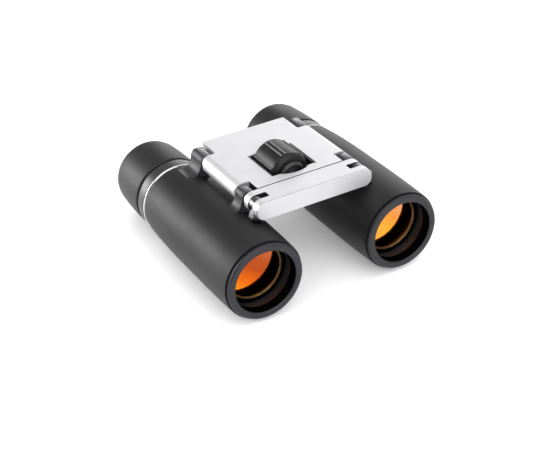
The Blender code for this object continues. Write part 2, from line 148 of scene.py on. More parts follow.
class Shader:
    """The node tree of one material, ending in a Principled BSDF."""

    def __init__(self, name: str) -> None:
        """Make the material with its shader.

        Args:
            name: The material's name.
        """
        self.material = bpy.data.materials.new(name)
        self.material.use_nodes = True
        self.nodes = self.material.node_tree.nodes
        self.links = self.material.node_tree.links
        self.surface = self.nodes["Principled BSDF"]
        self.place = self.add("ShaderNodeTexCoord", {}, {}).outputs["Object"]

    def add(self, kind: str, settings: dict[str, Any], inputs: dict[Any, Any]) -> bpy.types.Node:
        """Add a node.

        Args:
            kind: The node's type.
            settings: Attributes to set first. A ramp's stops are given as "stops".
            inputs: Values or links of its sockets, by name or number.

        Returns:
            The node.
        """
        made = self.nodes.new(kind)
        for key, setting in settings.items():
            if key == "stops":
                self._set_stops(made.color_ramp, setting)
            else:
                setattr(made, key, setting)
        for key, given in inputs.items():
            self.feed(made.inputs[key], given)
        return made

    @staticmethod
    def _set_stops(ramp: bpy.types.ColorRamp, stops: Sequence[tuple[float, Sequence[float]]]) -> None:
        """Give a colour ramp its stops.

        Args:
            ramp: The ramp.
            stops: A place and a colour for each stop.
        """
        while len(ramp.elements) < len(stops):
            ramp.elements.new(0.5)
        for element, (place, colour) in zip(ramp.elements, stops):
            element.position = place
            element.color = (*colour, 1.0)

    def feed(self, socket: bpy.types.NodeSocket, given: Any) -> None:
        """Link a Value or an output to a socket, or set the socket to a constant.

        Args:
            socket: The socket.
            given: What it gets.
        """
        if isinstance(given, Value):
            given = given.socket
        if isinstance(given, bpy.types.NodeSocket):
            self.links.new(given, socket)
        elif isinstance(given, (tuple, list)) and len(given) == 3 and socket.type == "RGBA":
            socket.default_value = (*given, 1.0)
        else:
            socket.default_value = given

    def set(self, **inputs: Any) -> None:
        """Feed the Principled BSDF's sockets, with _ for a space in a socket's name."""
        for key, given in inputs.items():
            self.feed(self.surface.inputs[key.replace("_", " ")], given)

    def noise(self, size: float, detail: float = 2.0, roughness: float = 0.5,
              stretch: Sequence[float] = (1.0, 1.0, 1.0)) -> Value:
        """Noise over the piece.

        Args:
            size: About how far apart its blotches are, in millimetres.
            detail: How many finer layers it has.
            roughness: How strong the finer layers are.
            stretch: How much longer the blotches are along each axis.

        Returns:
            The noise, from 0 to 1 and mostly near 0.5.
        """
        scale = tuple(1.0 / part for part in stretch)
        mapped = self.add("ShaderNodeMapping", {}, {"Vector": self.place, "Scale": scale})
        made = self.add(
            "ShaderNodeTexNoise",
            {},
            {"Vector": mapped.outputs[0], "Scale": 1.0 / (size * MM), "Detail": detail,
             "Roughness": roughness},
        )
        return Value(self, made.outputs[0])

    def grains(self, size: float) -> Value:
        """Distance to the nearest of many scattered points about that many millimetres apart."""
        made = self.add("ShaderNodeTexVoronoi", {}, {"Vector": self.place, "Scale": 1.0 / (size * MM)})
        return Value(self, made.outputs["Distance"])

    def coordinate(self, axis: str, centre: float = 0.0) -> Value:
        """One coordinate of the surface in millimetres from a centre in millimetres."""
        parts = self.add("ShaderNodeSeparateXYZ", {}, {0: self.place})
        return Value(self, parts.outputs[axis]) * (1.0 / MM) - centre

    def blend(self, share: Any, first: Any, second: Any) -> bpy.types.NodeSocket:
        """Mix two colours: the first where the share is 0 and the second where it is 1."""
        made = self.add("ShaderNodeMix", {"data_type": "RGBA"}, {0: share, 6: first, 7: second})
        return made.outputs[2]

    def bump(self, height: Value, depth: float) -> bpy.types.NodeSocket:
        """Turn a height of 0 to 1, whose full depth is given in millimetres, into a normal."""
        made = self.add("ShaderNodeBump", {}, {"Height": height, "Distance": depth * MM, "Strength": 1.0})
        return made.outputs[0]


# ---------------------------------------------------------------------------------------------
# Finishes
# ---------------------------------------------------------------------------------------------


@dataclass(frozen=True)
class Finish:
    """A finish, which builds its material once."""

    name: str

    def build(self) -> bpy.types.Material:
        """Make the material.

        Returns:
            The material.
        """
        shader = Shader(self.name)
        self.dress(shader)
        return shader.material

    def dress(self, shader: Shader) -> None:
        """Give the shader its colour and surface."""
        raise NotImplementedError


@dataclass(frozen=True)
class SoftRubber(Finish):
    """Matt rubber with a very fine grain, faint mottling and a trace of handling."""

    dark: Corner = (0.0065, 0.0065, 0.0072)
    light: Corner = (0.012, 0.012, 0.0125)
    roughness: float = 0.48
    grain_size: float = 0.16
    grain_depth: float = 0.010
    gloss: float = 0.27

    def dress(self, shader: Shader) -> None:
        """Give the shader a grained dark rubber.

        Args:
            shader: The material's shader.
        """
        mottle = shader.noise(14.0, 3.0)
        fine = shader.noise(self.grain_size, 2.0, 0.6)
        smudge = shader.noise(6.0, 4.0, 0.6, (1.0, 2.5, 1.0)).ramp(0.45, 0.75)
        shade = (mottle * 0.6 + fine * 0.4).ramp(0.3, 0.7)
        shader.set(
            Base_Color=shader.blend(shade, self.dark, self.light),
            Roughness=self.roughness + (fine - 0.5) * 0.08 + smudge * 0.05,
            Specular_IOR_Level=self.gloss,
            Normal=shader.bump(fine, self.grain_depth),
        )


@dataclass(frozen=True)
class SatinMetal(Finish):
    """Silver with a fine bead-blasted sparkle and a faint cloud over it."""

    base: Corner = (0.64, 0.64, 0.65)
    deep: Corner = (0.53, 0.53, 0.54)
    metallic: float = 0.55
    roughness: float = 0.46
    grain_size: float = 0.12

    def dress(self, shader: Shader) -> None:
        """Give the shader a blasted silver.

        Args:
            shader: The material's shader.
        """
        grain = shader.noise(self.grain_size, 1.0, 0.7)
        cloud = shader.noise(9.0, 3.0)
        flecks = shader.grains(self.grain_size * 1.6).ramp(0.15, 0.6)
        shade = (grain * 0.5 + cloud * 0.25 + flecks * 0.25).ramp(0.3, 0.7)
        shader.set(
            Base_Color=shader.blend(shade, self.deep, self.base),
            Metallic=self.metallic,
            Roughness=self.roughness + (grain - 0.5) * 0.16,
            Normal=shader.bump(grain * 0.7 + flecks * 0.3, 0.006),
        )


@dataclass(frozen=True)
class Casting(Finish):
    """Dark painted casting with a slight orange peel."""

    base: Corner = (0.020, 0.020, 0.022)
    rubbed: Corner = (0.07, 0.07, 0.075)
    roughness: float = 0.44
    peel: float = 0.7

    def dress(self, shader: Shader) -> None:
        """Give the shader a semi-gloss dark paint with a few rubbed spots.

        Args:
            shader: The material's shader.
        """
        peel = shader.noise(self.peel, 2.0)
        speck = shader.noise(0.2, 2.0, 0.6)
        worn = shader.noise(2.5, 3.0).ramp(0.60, 0.75) * 0.5
        shader.set(
            Base_Color=shader.blend(worn, self.base, self.rubbed),
            Specular_IOR_Level=0.4,
            Roughness=self.roughness + (speck - 0.5) * 0.12 + worn * 0.1,
            Normal=shader.bump(peel * 0.8 + speck * 0.2, 0.012),
        )


@dataclass(frozen=True)
class Plastic(Finish):
    """Moulded plastic with spark-eroded texture."""

    base: Corner = (0.010, 0.010, 0.011)
    roughness: float = 0.42
    texture: float = 0.22
    depth: float = 0.010
    gloss: float = 0.5

    def dress(self, shader: Shader) -> None:
        """Give the shader a finely textured plastic.

        Args:
            shader: The material's shader.
        """
        texture = shader.noise(self.texture, 2.0, 0.6)
        cloud = shader.noise(5.0, 2.0)
        lighter = tuple(part * 1.5 for part in self.base)
        shader.set(
            Base_Color=shader.blend((texture * 0.6 + cloud * 0.4).ramp(0.3, 0.7), self.base, lighter),
            Roughness=self.roughness + (cloud - 0.5) * 0.12,
            Specular_IOR_Level=self.gloss,
            Normal=shader.bump(texture, self.depth),
        )


@dataclass(frozen=True)
class TurnedMetal(Finish):
    """Metal with fine tool marks round an axis along Y."""

    base: Corner = (0.60, 0.60, 0.61)
    roughness: float = 0.25
    mark_spacing: float = 0.18
    mark_depth: float = 0.004
    tarnish: Corner = (0.45, 0.45, 0.46)

    def dress(self, shader: Shader) -> None:
        """Give the shader a lathe-turned metal.

        Args:
            shader: The material's shader.
        """
        marks = (shader.coordinate("Y") * (2 * math.pi / self.mark_spacing)).apply("SINE") * 0.5 + 0.5
        stain = shader.noise(1.8, 3.0).ramp(0.4, 0.75)
        shader.set(
            Base_Color=shader.blend(stain * 0.6, self.base, self.tarnish),
            Metallic=1.0,
            Roughness=self.roughness + stain * 0.12,
            Normal=shader.bump(marks, self.mark_depth),
        )


@dataclass(frozen=True)
class Chrome(Finish):
    """Bright plating with hairline scratches."""

    base: Corner = (0.93, 0.93, 0.94)

    def dress(self, shader: Shader) -> None:
        """Give the shader a bright plating.

        Args:
            shader: The material's shader.
        """
        hairs = shader.noise(0.25, 2.0, 0.5, (1.0, 0.15, 1.0))
        haze = shader.noise(3.0, 3.0)
        shader.set(
            Base_Color=shader.blend(haze.ramp(0.3, 0.7) * 0.3, self.base, (0.84, 0.85, 0.87)),
            Metallic=1.0,
            Roughness=0.17 + hairs * 0.06 + haze * 0.03,
            Normal=shader.bump(hairs, 0.0003),
        )


@dataclass(frozen=True)
class RubyCoating(Finish):
    """The mirror-like orange coating of an objective lens, whose colour varies across the glass, partly by
    its own tint and partly by painted reflection.

    The centre and the radius are the glass's. The glow is 0 for the darker colours of a shaded lens and 1
    for the lighter colours of a lit one, painted into the base colour.
    """

    centre_x: float
    centre_z: float
    radius: float
    glow: float

    def dress(self, shader: Shader) -> None:
        """Give the shader an orange mirror with painted reflection: lighter and yellower low down, redder in
        the middle.

        Args:
            shader: The material's shader.
        """
        across = shader.coordinate("X", self.centre_x) / self.radius
        up = shader.coordinate("Z", self.centre_z) / self.radius
        drift = (shader.noise(7.0, 2.0) - 0.5) * 0.2
        tint_and_painted_reflection = up * 0.45 + across * 0.30 + drift + 0.5
        # Both ramps paint reflection into the colour, the deep one as shaded and the bright one as lit; the
        # glow picks between them.
        deep = shader.add(
            "ShaderNodeValToRGB",
            {"stops": [(0.0, (0.90, 0.30, 0.010)), (0.28, (0.72, 0.13, 0.006)), (0.5, (0.42, 0.062, 0.010)),
                       (0.72, (0.40, 0.070, 0.014)), (1.0, (0.46, 0.12, 0.040))]},
            {"Fac": tint_and_painted_reflection},
        ).outputs[0]
        bright = shader.add(
            "ShaderNodeValToRGB",
            {"stops": [(0.0, (0.86, 0.40, 0.060)), (0.35, (0.95, 0.34, 0.030)), (0.6, (0.92, 0.24, 0.040)),
                       (0.8, (0.75, 0.26, 0.10)), (1.0, (0.64, 0.34, 0.22))]},
            {"Fac": tint_and_painted_reflection},
        ).outputs[0]
        dust = shader.grains(0.5).ramp(0.0, 0.04)
        shader.set(
            Base_Color=shader.blend(self.glow, deep, bright),
            Metallic=1.0,
            Roughness=0.06 + (1 - dust) * 0.2,
        )


@dataclass(frozen=True)
class CoatedGlass(Finish):
    """Dark glass seen into, with a faint violet and green coating."""

    def dress(self, shader: Shader) -> None:
        """Give the shader a deep coated glass.

        Args:
            shader: The material's shader.
        """
        wash = shader.noise(6.0, 2.0).ramp(0.35, 0.65)
        dust = shader.grains(0.6).ramp(0.0, 0.05)
        shader.set(
            Base_Color=shader.blend(wash, (0.010, 0.006, 0.020), (0.004, 0.016, 0.014)),
            Roughness=0.03 + (1 - dust) * 0.15,
            Specular_IOR_Level=0.5,
            IOR=1.6,
            Coat_Weight=0.6,
            Coat_Roughness=0.02,
            Coat_Tint=(0.75, 0.60, 1.0, 1.0),
        )


class Palette:
    """The built materials by finish, each made once."""

    def __init__(self) -> None:
        """Start with no material built."""
        self._built: dict[Finish, bpy.types.Material] = {}

    def __getitem__(self, finish: Finish) -> bpy.types.Material:
        """The material of a finish."""
        if finish not in self._built:
            self._built[finish] = finish.build()
        return self._built[finish]


PALETTE = Palette()
ARMOUR = SoftRubber("armour_rubber")
EYECUP = SoftRubber("eyecup_rubber", dark=(0.010, 0.010, 0.011), light=(0.017, 0.017, 0.018),
                    roughness=0.46, grain_size=0.22, grain_depth=0.014)
WHEEL = SoftRubber("wheel_rubber", dark=(0.005, 0.005, 0.0055), light=(0.010, 0.010, 0.0105),
                   roughness=0.40, grain_size=0.3, grain_depth=0.012, gloss=0.26)
BAR = SoftRubber("bar_rubber", dark=(0.016, 0.016, 0.017), light=(0.028, 0.028, 0.029),
                 roughness=0.27, grain_size=0.3, grain_depth=0.006, gloss=0.6)
SILVER = SatinMetal("satin_silver")
CASTING = Casting("dark_casting")
COLLAR = Plastic("collar_plastic", base=(0.018, 0.018, 0.019), roughness=0.36)
BEZEL = Plastic("bezel_plastic", base=(0.0115, 0.0112, 0.0145), roughness=0.42, texture=0.3, gloss=0.35)
BLACK = Plastic("black_plastic")
BAFFLE = Plastic("baffle_black", base=(0.0012, 0.0012, 0.0013), roughness=0.60, texture=0.4, gloss=0.0)
STEEL = TurnedMetal("turned_steel")
DARK_STEEL = TurnedMetal("dark_steel", base=(0.16, 0.16, 0.17), tarnish=(0.10, 0.10, 0.105), roughness=0.28)
BRASS = TurnedMetal("turned_brass", base=(0.50, 0.33, 0.12), tarnish=(0.25, 0.15, 0.06))
GOLD_RING = TurnedMetal("gilt_ring", base=(0.27, 0.17, 0.07), tarnish=(0.14, 0.08, 0.035), roughness=0.35)
CHROME = Chrome("bright_plating")
GLASS = CoatedGlass("coated_glass")
# The right objective is painted lighter than the left: painted reflection, a lit and a shaded copy of one
# coating.
LENS_PAINTED_REFLECTION = {Side.LEFT: 0.0, Side.RIGHT: 1.0}


# ---------------------------------------------------------------------------------------------
# Shapes
# ---------------------------------------------------------------------------------------------


@dataclass(frozen=True)
class Extent:
    """The box of a node of the frame, in millimetres."""

    low: Vector
    high: Vector

    @classmethod
    def of(cls, node: str) -> "Extent":
        """The box of a node by name."""
        low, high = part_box(node)
        return cls(low / MM, high / MM)

    @property
    def axis(self) -> Point2:
        """Its middle in X and Z, where the axis of a turned node runs."""
        return ((self.low.x + self.high.x) / 2, (self.low.z + self.high.z) / 2)

    @property
    def front(self) -> float:
        """Its lowest Y, toward the objectives."""
        return self.low.y

    @property
    def rear(self) -> float:
        """Its highest Y, toward the eyecups."""
        return self.high.y

    @property
    def middle(self) -> float:
        """Its middle in Y."""
        return (self.low.y + self.high.y) / 2

    @property
    def radius(self) -> float:
        """Half its width in X, the outer radius of a turned node."""
        return (self.high.x - self.low.x) / 2


def arc(centre: Point2, radius: float, start: float, end: float, count: int) -> list[Point2]:
    """Points on an arc.

    Args:
        centre: The arc's centre.
        radius: Its radius.
        start: The angle of its first point in degrees.
        end: The angle of its last point in degrees.
        count: The number of steps between them.

    Returns:
        The points, both ends included.
    """
    angles = [math.radians(start + (end - start) * i / count) for i in range(count + 1)]
    return [(centre[0] + radius * math.cos(a), centre[1] + radius * math.sin(a)) for a in angles]


def filleted(corners: Sequence[Corner], closed: bool = True, step: float = 15.0) -> list[Point2]:
    """Round the corners of an outline.

    Args:
        corners: Each corner as two coordinates and the fillet's radius there.
        closed: Whether the last corner joins the first.
        step: The largest turn between two points on a fillet, in degrees.

    Returns:
        The outline's points.
    """
    made: list[Point2] = []
    count = len(corners)
    for index, (x, y, radius) in enumerate(corners):
        here = Vector((x, y))
        if radius <= 0 or (not closed and index in (0, count - 1)):
            made.append((x, y))
            continue
        before = Vector(corners[index - 1][:2]) - here
        after = Vector(corners[(index + 1) % count][:2]) - here
        turn = math.pi - before.angle(after)
        if turn < math.radians(2.0):
            made.append((x, y))
            continue
        reach = min(radius * math.tan(turn / 2), before.length * 0.49, after.length * 0.49)
        radius = reach / math.tan(turn / 2)
        bisector = (before.normalized() + after.normalized()).normalized()
        centre = here + bisector * (radius / math.cos(turn / 2))
        start = here + before.normalized() * reach - centre
        end = here + after.normalized() * reach - centre
        first = math.atan2(start.y, start.x)
        swing = math.atan2(end.y, end.x) - first
        swing = (swing + math.pi) % (2 * math.pi) - math.pi
        pieces = max(2, math.ceil(math.degrees(abs(swing)) / step))
        for i in range(pieces + 1):
            angle = first + swing * i / pieces
            made.append((centre.x + radius * math.cos(angle), centre.y + radius * math.sin(angle)))
    return made


def tablet(low_x: float, high_x: float, front: float, rear: float, soft: float) -> list[Point2]:
    """A rectangle in X and Y with rounded corners.

    Args:
        low_x: Its left edge.
        high_x: Its right edge.
        front: Its lowest Y.
        rear: Its highest Y.
        soft: The corners' radius.

    Returns:
        The outline's points.
    """
    return filleted([(low_x, front, soft), (high_x, front, soft), (high_x, rear, soft), (low_x, rear, soft)])


def as_object(name: str, work: bmesh.types.BMesh) -> bpy.types.Object:
    """Turn a bmesh in millimetres into an object in metres at the origin.

    Args:
        name: The object's name.
        work: The mesh, which is freed.

    Returns:
        The object.
    """
    bmesh.ops.remove_doubles(work, verts=work.verts, dist=1e-5)
    bmesh.ops.recalc_face_normals(work, faces=work.faces)
    bmesh.ops.scale(work, vec=(MM, MM, MM), verts=work.verts)
    mesh = bpy.data.meshes.new(name)
    work.to_mesh(mesh)
    work.free()
    made = bpy.data.objects.new(name, mesh)
    bpy.context.scene.collection.objects.link(made)
    shade(made)
    return made


def shade(piece: bpy.types.Object, angle: float = 35.0) -> None:
    """Shade a piece smooth but for its edges sharper than an angle in degrees."""
    piece.data.shade_smooth()
    piece.data.set_sharp_from_angle(angle=math.radians(angle))


def turned(name: str, profile: Sequence[Point2], axis: Point2, segments: int = 144) -> bpy.types.Object:
    """Turn a profile about an axis along Y.

    Args:
        name: The object's name.
        profile: Points of radius and Y. A profile that ends on the axis at both ends is solid,
            any other closes on itself as a ring.
        axis: The axis in X and Z.
        segments: The number of segments round it.

    Returns:
        The object.
    """
    work = bmesh.new()
    loops: list[list[bmesh.types.BMVert]] = []
    for radius, y in profile:
        if radius < 1e-6:
            loops.append([work.verts.new((axis[0], y, axis[1]))])
            continue
        loop = []
        for i in range(segments):
            angle = 2 * math.pi * i / segments
            place = (axis[0] + radius * math.cos(angle), y, axis[1] + radius * math.sin(angle))
            loop.append(work.verts.new(place))
        loops.append(loop)
    solid = len(loops[0]) == 1
    pairs = list(zip(loops, loops[1:]))
    if not solid:
        pairs.append((loops[-1], loops[0]))
    for first, second in pairs:
        for i in range(segments):
            j = (i + 1) % segments
            corners = [first[i % len(first)], first[j % len(first)],
                       second[j % len(second)], second[i % len(second)]]
            face = list(dict.fromkeys(corners))
            if len(face) > 2:
                work.faces.new(face)
    return as_object(name, work)


def slab(name: str, outline: Sequence[Point2], low: float, high: float, along: str = "Y"
         ) -> bpy.types.Object:
    """Extrude an outline into a solid.

    Args:
        name: The object's name.
        outline: Points in X and Z for a slab along Y, or in X and Y for a slab along Z.
        low: Where it starts along that axis.
        high: Where it ends.
        along: The axis of the extrusion.

    Returns:
        The object.
    """
    work = bmesh.new()
    rings = []
    for level in (low, high):
        ring = [work.verts.new((u, level, v) if along == "Y" else (u, v, level)) for u, v in outline]
        rings.append(ring)
        work.faces.new(ring)
    count = len(outline)
    for i in range(count):
        j = (i + 1) % count
        work.faces.new([rings[0][i], rings[0][j], rings[1][j], rings[1][i]])
    return as_object(name, work)


def drill(radius: float, front: float, rear: float, axis: Point2) -> bpy.types.Object:
    """A round cutter along Y.

    Args:
        radius: Its radius.
        front: Where it starts.
        rear: Where it ends.
        axis: Its axis in X and Z.

    Returns:
        The cutter.
    """
    return turned("drill", [(0.0, rear), (radius, rear), (radius, front), (0.0, front)], axis, DRILL_SIDES)


def through(outline: Sequence[Point2], node: Extent) -> bpy.types.Object:
    """A solid with an outline in X and Y that passes right through a node from below."""
    return slab("punch", outline, node.low.z - OVERRUN, node.high.z + OVERRUN, "Z")


def baked(piece: bpy.types.Object) -> bpy.types.Object:
    """Apply every modifier of a piece to its mesh.

    Args:
        piece: The piece.

    Returns:
        The piece.
    """
    depsgraph = bpy.context.evaluated_depsgraph_get()
    depsgraph.update()
    mesh = bpy.data.meshes.new_from_object(piece.evaluated_get(depsgraph))
    piece.modifiers.clear()
    piece.data = mesh
    return piece


def joined(piece: bpy.types.Object, other: bpy.types.Object, operation: str) -> bpy.types.Object:
    """Cut, join or keep the overlap of two solids, and remove the second.

    Args:
        piece: The solid that stays.
        other: The solid that goes.
        operation: DIFFERENCE, UNION or INTERSECT.

    Returns:
        The solid that stays.
    """
    modifier = piece.modifiers.new("joined", "BOOLEAN")
    modifier.operation = operation
    modifier.object = other
    modifier.solver = "EXACT"
    baked(piece)
    bpy.data.objects.remove(other, do_unlink=True)
    return piece


def cut(piece: bpy.types.Object, *others: bpy.types.Object) -> bpy.types.Object:
    """Cut solids out of a piece.

    Args:
        piece: The piece.
        others: The solids, which are removed.

    Returns:
        The piece.
    """
    for other in others:
        joined(piece, other, "DIFFERENCE")
    return piece


def eased(piece: bpy.types.Object, width: float, segments: int) -> bpy.types.Object:
    """Bevel a piece's sharp edges.

    Args:
        piece: The piece.
        width: The bevel's width in millimetres.
        segments: Its steps.

    Returns:
        The piece.
    """
    work = bmesh.new()
    work.from_mesh(piece.data)
    bmesh.ops.remove_doubles(work, verts=work.verts, dist=1e-7)
    bmesh.ops.dissolve_limit(work, angle_limit=math.radians(0.5), verts=work.verts, edges=work.edges)
    work.to_mesh(piece.data)
    work.free()
    bevel = piece.modifiers.new("eased", "BEVEL")
    bevel.width = width * MM
    bevel.segments = segments
    bevel.limit_method = "ANGLE"
    bevel.angle_limit = math.radians(BEVEL_FROM)
    bevel.miter_outer = "MITER_ARC"
    bevel.harden_normals = False
    baked(piece)
    return weighted(piece)


def weighted(piece: bpy.types.Object, angle: float = 40.0) -> bpy.types.Object:
    """Shade a piece's large faces flat and the narrow ones beside them as their rounding.

    Args:
        piece: The piece.
        angle: Faces that turn more than this many degrees from each other don't blend.

    Returns:
        The piece.
    """
    shade(piece, angle)
    mesh = piece.data
    around: list[list[bpy.types.MeshPolygon]] = [[] for _ in mesh.vertices]
    for face in mesh.polygons:
        for corner in face.vertices:
            around[corner].append(face)
    limit = math.cos(math.radians(angle))
    normals = [Vector((0.0, 0.0, 1.0))] * len(mesh.loops)
    for face in mesh.polygons:
        for index in face.loop_indices:
            total = Vector()
            for near in around[mesh.loops[index].vertex_index]:
                if near.normal.dot(face.normal) > limit:
                    total += near.normal * (near.area / MM ** 2) ** 2
            normals[index] = total.normalized() if total.length > 0 else face.normal.copy()
    mesh.normals_split_custom_set(normals)
    return piece


def paint(piece: bpy.types.Object, finish: Finish, where: Callable[[Vector, Vector], bool]) -> None:
    """Give some faces of a piece another finish.

    Args:
        piece: The piece, which has its first finish already.
        finish: The other finish.
        where: Says whether a face takes it, from its centre in millimetres and its normal.
    """
    index = len(piece.data.materials)
    piece.data.materials.append(PALETTE[finish])
    for face in piece.data.polygons:
        if where(face.center / MM, face.normal):
            face.material_index = index


def place(piece: bpy.types.Object, body: str, finish: Finish, slot: str, *nodes: str
          ) -> bpy.types.Object:
    """Dress a piece and put it on its body.

    Args:
        piece: The finished piece.
        body: The body it rides on.
        finish: Its finish.
        slot: The record's material slot; not used.
        nodes: The frame's nodes that it stands for.

    Returns:
        The piece.
    """
    piece.data.materials.clear()
    piece.data.materials.append(PALETTE[finish])
    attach(piece, body)
    if nodes:
        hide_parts(*nodes)
    log.info("%s rides on %s, %d faces", piece.name, body, len(piece.data.polygons))
    return piece


# ---------------------------------------------------------------------------------------------
# Geometry Nodes
# ---------------------------------------------------------------------------------------------


class Recipe:
    """A Geometry Nodes tree that makes a piece from nothing but its named inputs."""

    def __init__(self, name: str) -> None:
        """Make the tree with its geometry and material sockets.

        Args:
            name: The tree's name.
        """
        self.tree = bpy.data.node_groups.new(name, "GeometryNodeTree")
        self.tree.interface.new_socket("Geometry", in_out="INPUT", socket_type="NodeSocketGeometry")
        self.tree.interface.new_socket("Geometry", in_out="OUTPUT", socket_type="NodeSocketGeometry")
        self.tree.interface.new_socket("Finish", in_out="INPUT", socket_type="NodeSocketMaterial")
        self.start = self.tree.nodes.new("NodeGroupInput")
        self.end = self.tree.nodes.new("NodeGroupOutput")

    def number(self, name: str, default: float) -> bpy.types.NodeSocket:
        """Add a named number input.

        Args:
            name: The input's name.
            default: Its default, a whole number for a count.

        Returns:
            Its socket inside the tree.
        """
        kind = "NodeSocketInt" if isinstance(default, int) else "NodeSocketFloat"
        socket = self.tree.interface.new_socket(name, in_out="INPUT", socket_type=kind)
        socket.default_value = default
        return self.start.outputs[name]

    def add(self, kind: str, settings: dict[str, Any], inputs: dict[Any, Any]) -> bpy.types.Node:
        """Add a node.

        Args:
            kind: The node's type.
            settings: Attributes to set first.
            inputs: Values or links of its sockets, by name or number.

        Returns:
            The node.
        """
        made = self.tree.nodes.new(kind)
        for key, setting in settings.items():
            setattr(made, key, setting)
        for key, given in inputs.items():
            if isinstance(given, bpy.types.NodeSocket):
                self.tree.links.new(given, made.inputs[key])
            else:
                made.inputs[key].default_value = given
        return made

    def math(self, operation: str, first: Any, second: Any = 0.0) -> bpy.types.NodeSocket:
        """Add a Math node and give its result."""
        return self.add("ShaderNodeMath", {"operation": operation}, {0: first, 1: second}).outputs[0]

    def vector(self, x: Any, y: Any, z: Any) -> bpy.types.NodeSocket:
        """Join three numbers into a vector."""
        return self.add("ShaderNodeCombineXYZ", {}, {0: x, 1: y, 2: z}).outputs[0]

    def close(self, geometry: bpy.types.NodeSocket) -> None:
        """End the tree: realise the instances and set the finish.

        Args:
            geometry: What the tree has made.
        """
        real = self.add("GeometryNodeRealizeInstances", {}, {0: geometry}).outputs[0]
        smooth = self.add("GeometryNodeSetShadeSmooth", {}, {0: real}).outputs[0]
        dressed = self.add(
            "GeometryNodeSetMaterial", {}, {"Geometry": smooth, "Material": self.start.outputs["Finish"]}
        )
        self.tree.links.new(dressed.outputs[0], self.end.inputs[0])

    def make(self, name: str, finish: Finish, **sizes: Any) -> bpy.types.Object:
        """Run the tree into a plain mesh.

        Args:
            name: The piece's name.
            finish: Its finish.
            sizes: Values of the named inputs, with _ for a space.

        Returns:
            The piece, at the origin.
        """
        piece = bpy.data.objects.new(name, bpy.data.meshes.new(name))
        bpy.context.scene.collection.objects.link(piece)
        modifier = piece.modifiers.new(name, "NODES")
        modifier.node_group = self.tree
        given = {key.replace("_", " "): value for key, value in sizes.items()}
        given["Finish"] = PALETTE[finish]
        for item in self.tree.interface.items_tree:
            if item.in_out == "INPUT" and item.name in given:
                modifier[item.identifier] = given[item.name]
        piece.update_tag()
        baked(piece)
        return piece


def raised_bars() -> Recipe:
    """Pairs of raised round-ended bars, spaced evenly round an axis along Y.

    Returns:
        The recipe. The bars lie round the origin's Y axis, and its sizes are in metres.
    """
    recipe = Recipe("raised_bars")
    pairs = recipe.number("Pairs", 6)
    radius = recipe.number("Radius", 9.0 * MM)
    length = recipe.number("Length", 9.0 * MM)
    width = recipe.number("Width", 0.9 * MM)
    spacing = recipe.number("Spacing", 1.7 * MM)
    centre_x = recipe.number("Centre X", 0.0)
    centre_y = recipe.number("Centre Y", 0.0)
    centre_z = recipe.number("Centre Z", 0.0)
    turn = recipe.number("Turn", 0.0)

    half = recipe.math("MULTIPLY", length, 0.5)
    line = recipe.add(
        "GeometryNodeCurvePrimitiveLine", {},
        {"Start": recipe.vector(0.0, recipe.math("MULTIPLY", half, -1.0), 0.0),
         "End": recipe.vector(0.0, half, 0.0)},
    ).outputs[0]
    fine = recipe.add("GeometryNodeResampleCurve", {}, {"Curve": line, "Count": 33}).outputs[0]
    factor = recipe.add("GeometryNodeSplineParameter", {}, {}).outputs["Factor"]
    offset = recipe.math("ABSOLUTE", recipe.math("SUBTRACT", recipe.math("MULTIPLY", factor, 2.0), 1.0))
    tail = recipe.math("POWER", offset, 14.0)
    fall = recipe.math("SQRT", recipe.math("MAXIMUM", recipe.math("SUBTRACT", 1.0, tail), 0.0004))
    shaped = recipe.add("GeometryNodeSetCurveRadius", {}, {"Curve": fine, "Radius": fall}).outputs[0]
    section = recipe.add(
        "GeometryNodeCurvePrimitiveCircle", {},
        {"Resolution": 16, "Radius": recipe.math("MULTIPLY", width, 0.5)},
    ).outputs[0]
    bar = recipe.add(
        "GeometryNodeCurveToMesh", {}, {"Curve": shaped, "Profile Curve": section, "Fill Caps": True}
    ).outputs[0]

    count = recipe.math("MULTIPLY", pairs, 2.0)
    points = recipe.add("GeometryNodePoints", {}, {"Count": count}).outputs[0]
    index = recipe.add("GeometryNodeInputIndex", {}, {}).outputs[0]
    pair = recipe.math("FLOOR", recipe.math("DIVIDE", index, 2.0))
    which = recipe.math("SUBTRACT", recipe.math("MODULO", index, 2.0), 0.5)
    base = recipe.math("ADD", turn, recipe.math("MULTIPLY", pair, recipe.math("DIVIDE", 2 * math.pi, pairs)))
    angle = recipe.math("ADD", base, recipe.math("MULTIPLY", which, recipe.math("DIVIDE", spacing, radius)))
    x = recipe.math("ADD", centre_x, recipe.math("MULTIPLY", radius, recipe.math("SINE", angle)))
    z = recipe.math("ADD", centre_z, recipe.math("MULTIPLY", radius, recipe.math("COSINE", angle)))
    placed = recipe.add(
        "GeometryNodeSetPosition", {}, {"Geometry": points, "Position": recipe.vector(x, centre_y, z)}
    ).outputs[0]
    bars = recipe.add(
        "GeometryNodeInstanceOnPoints", {},
        {"Points": placed, "Instance": bar, "Rotation": recipe.vector(0.0, angle, 0.0)},
    ).outputs[0]
    recipe.close(bars)
    return recipe


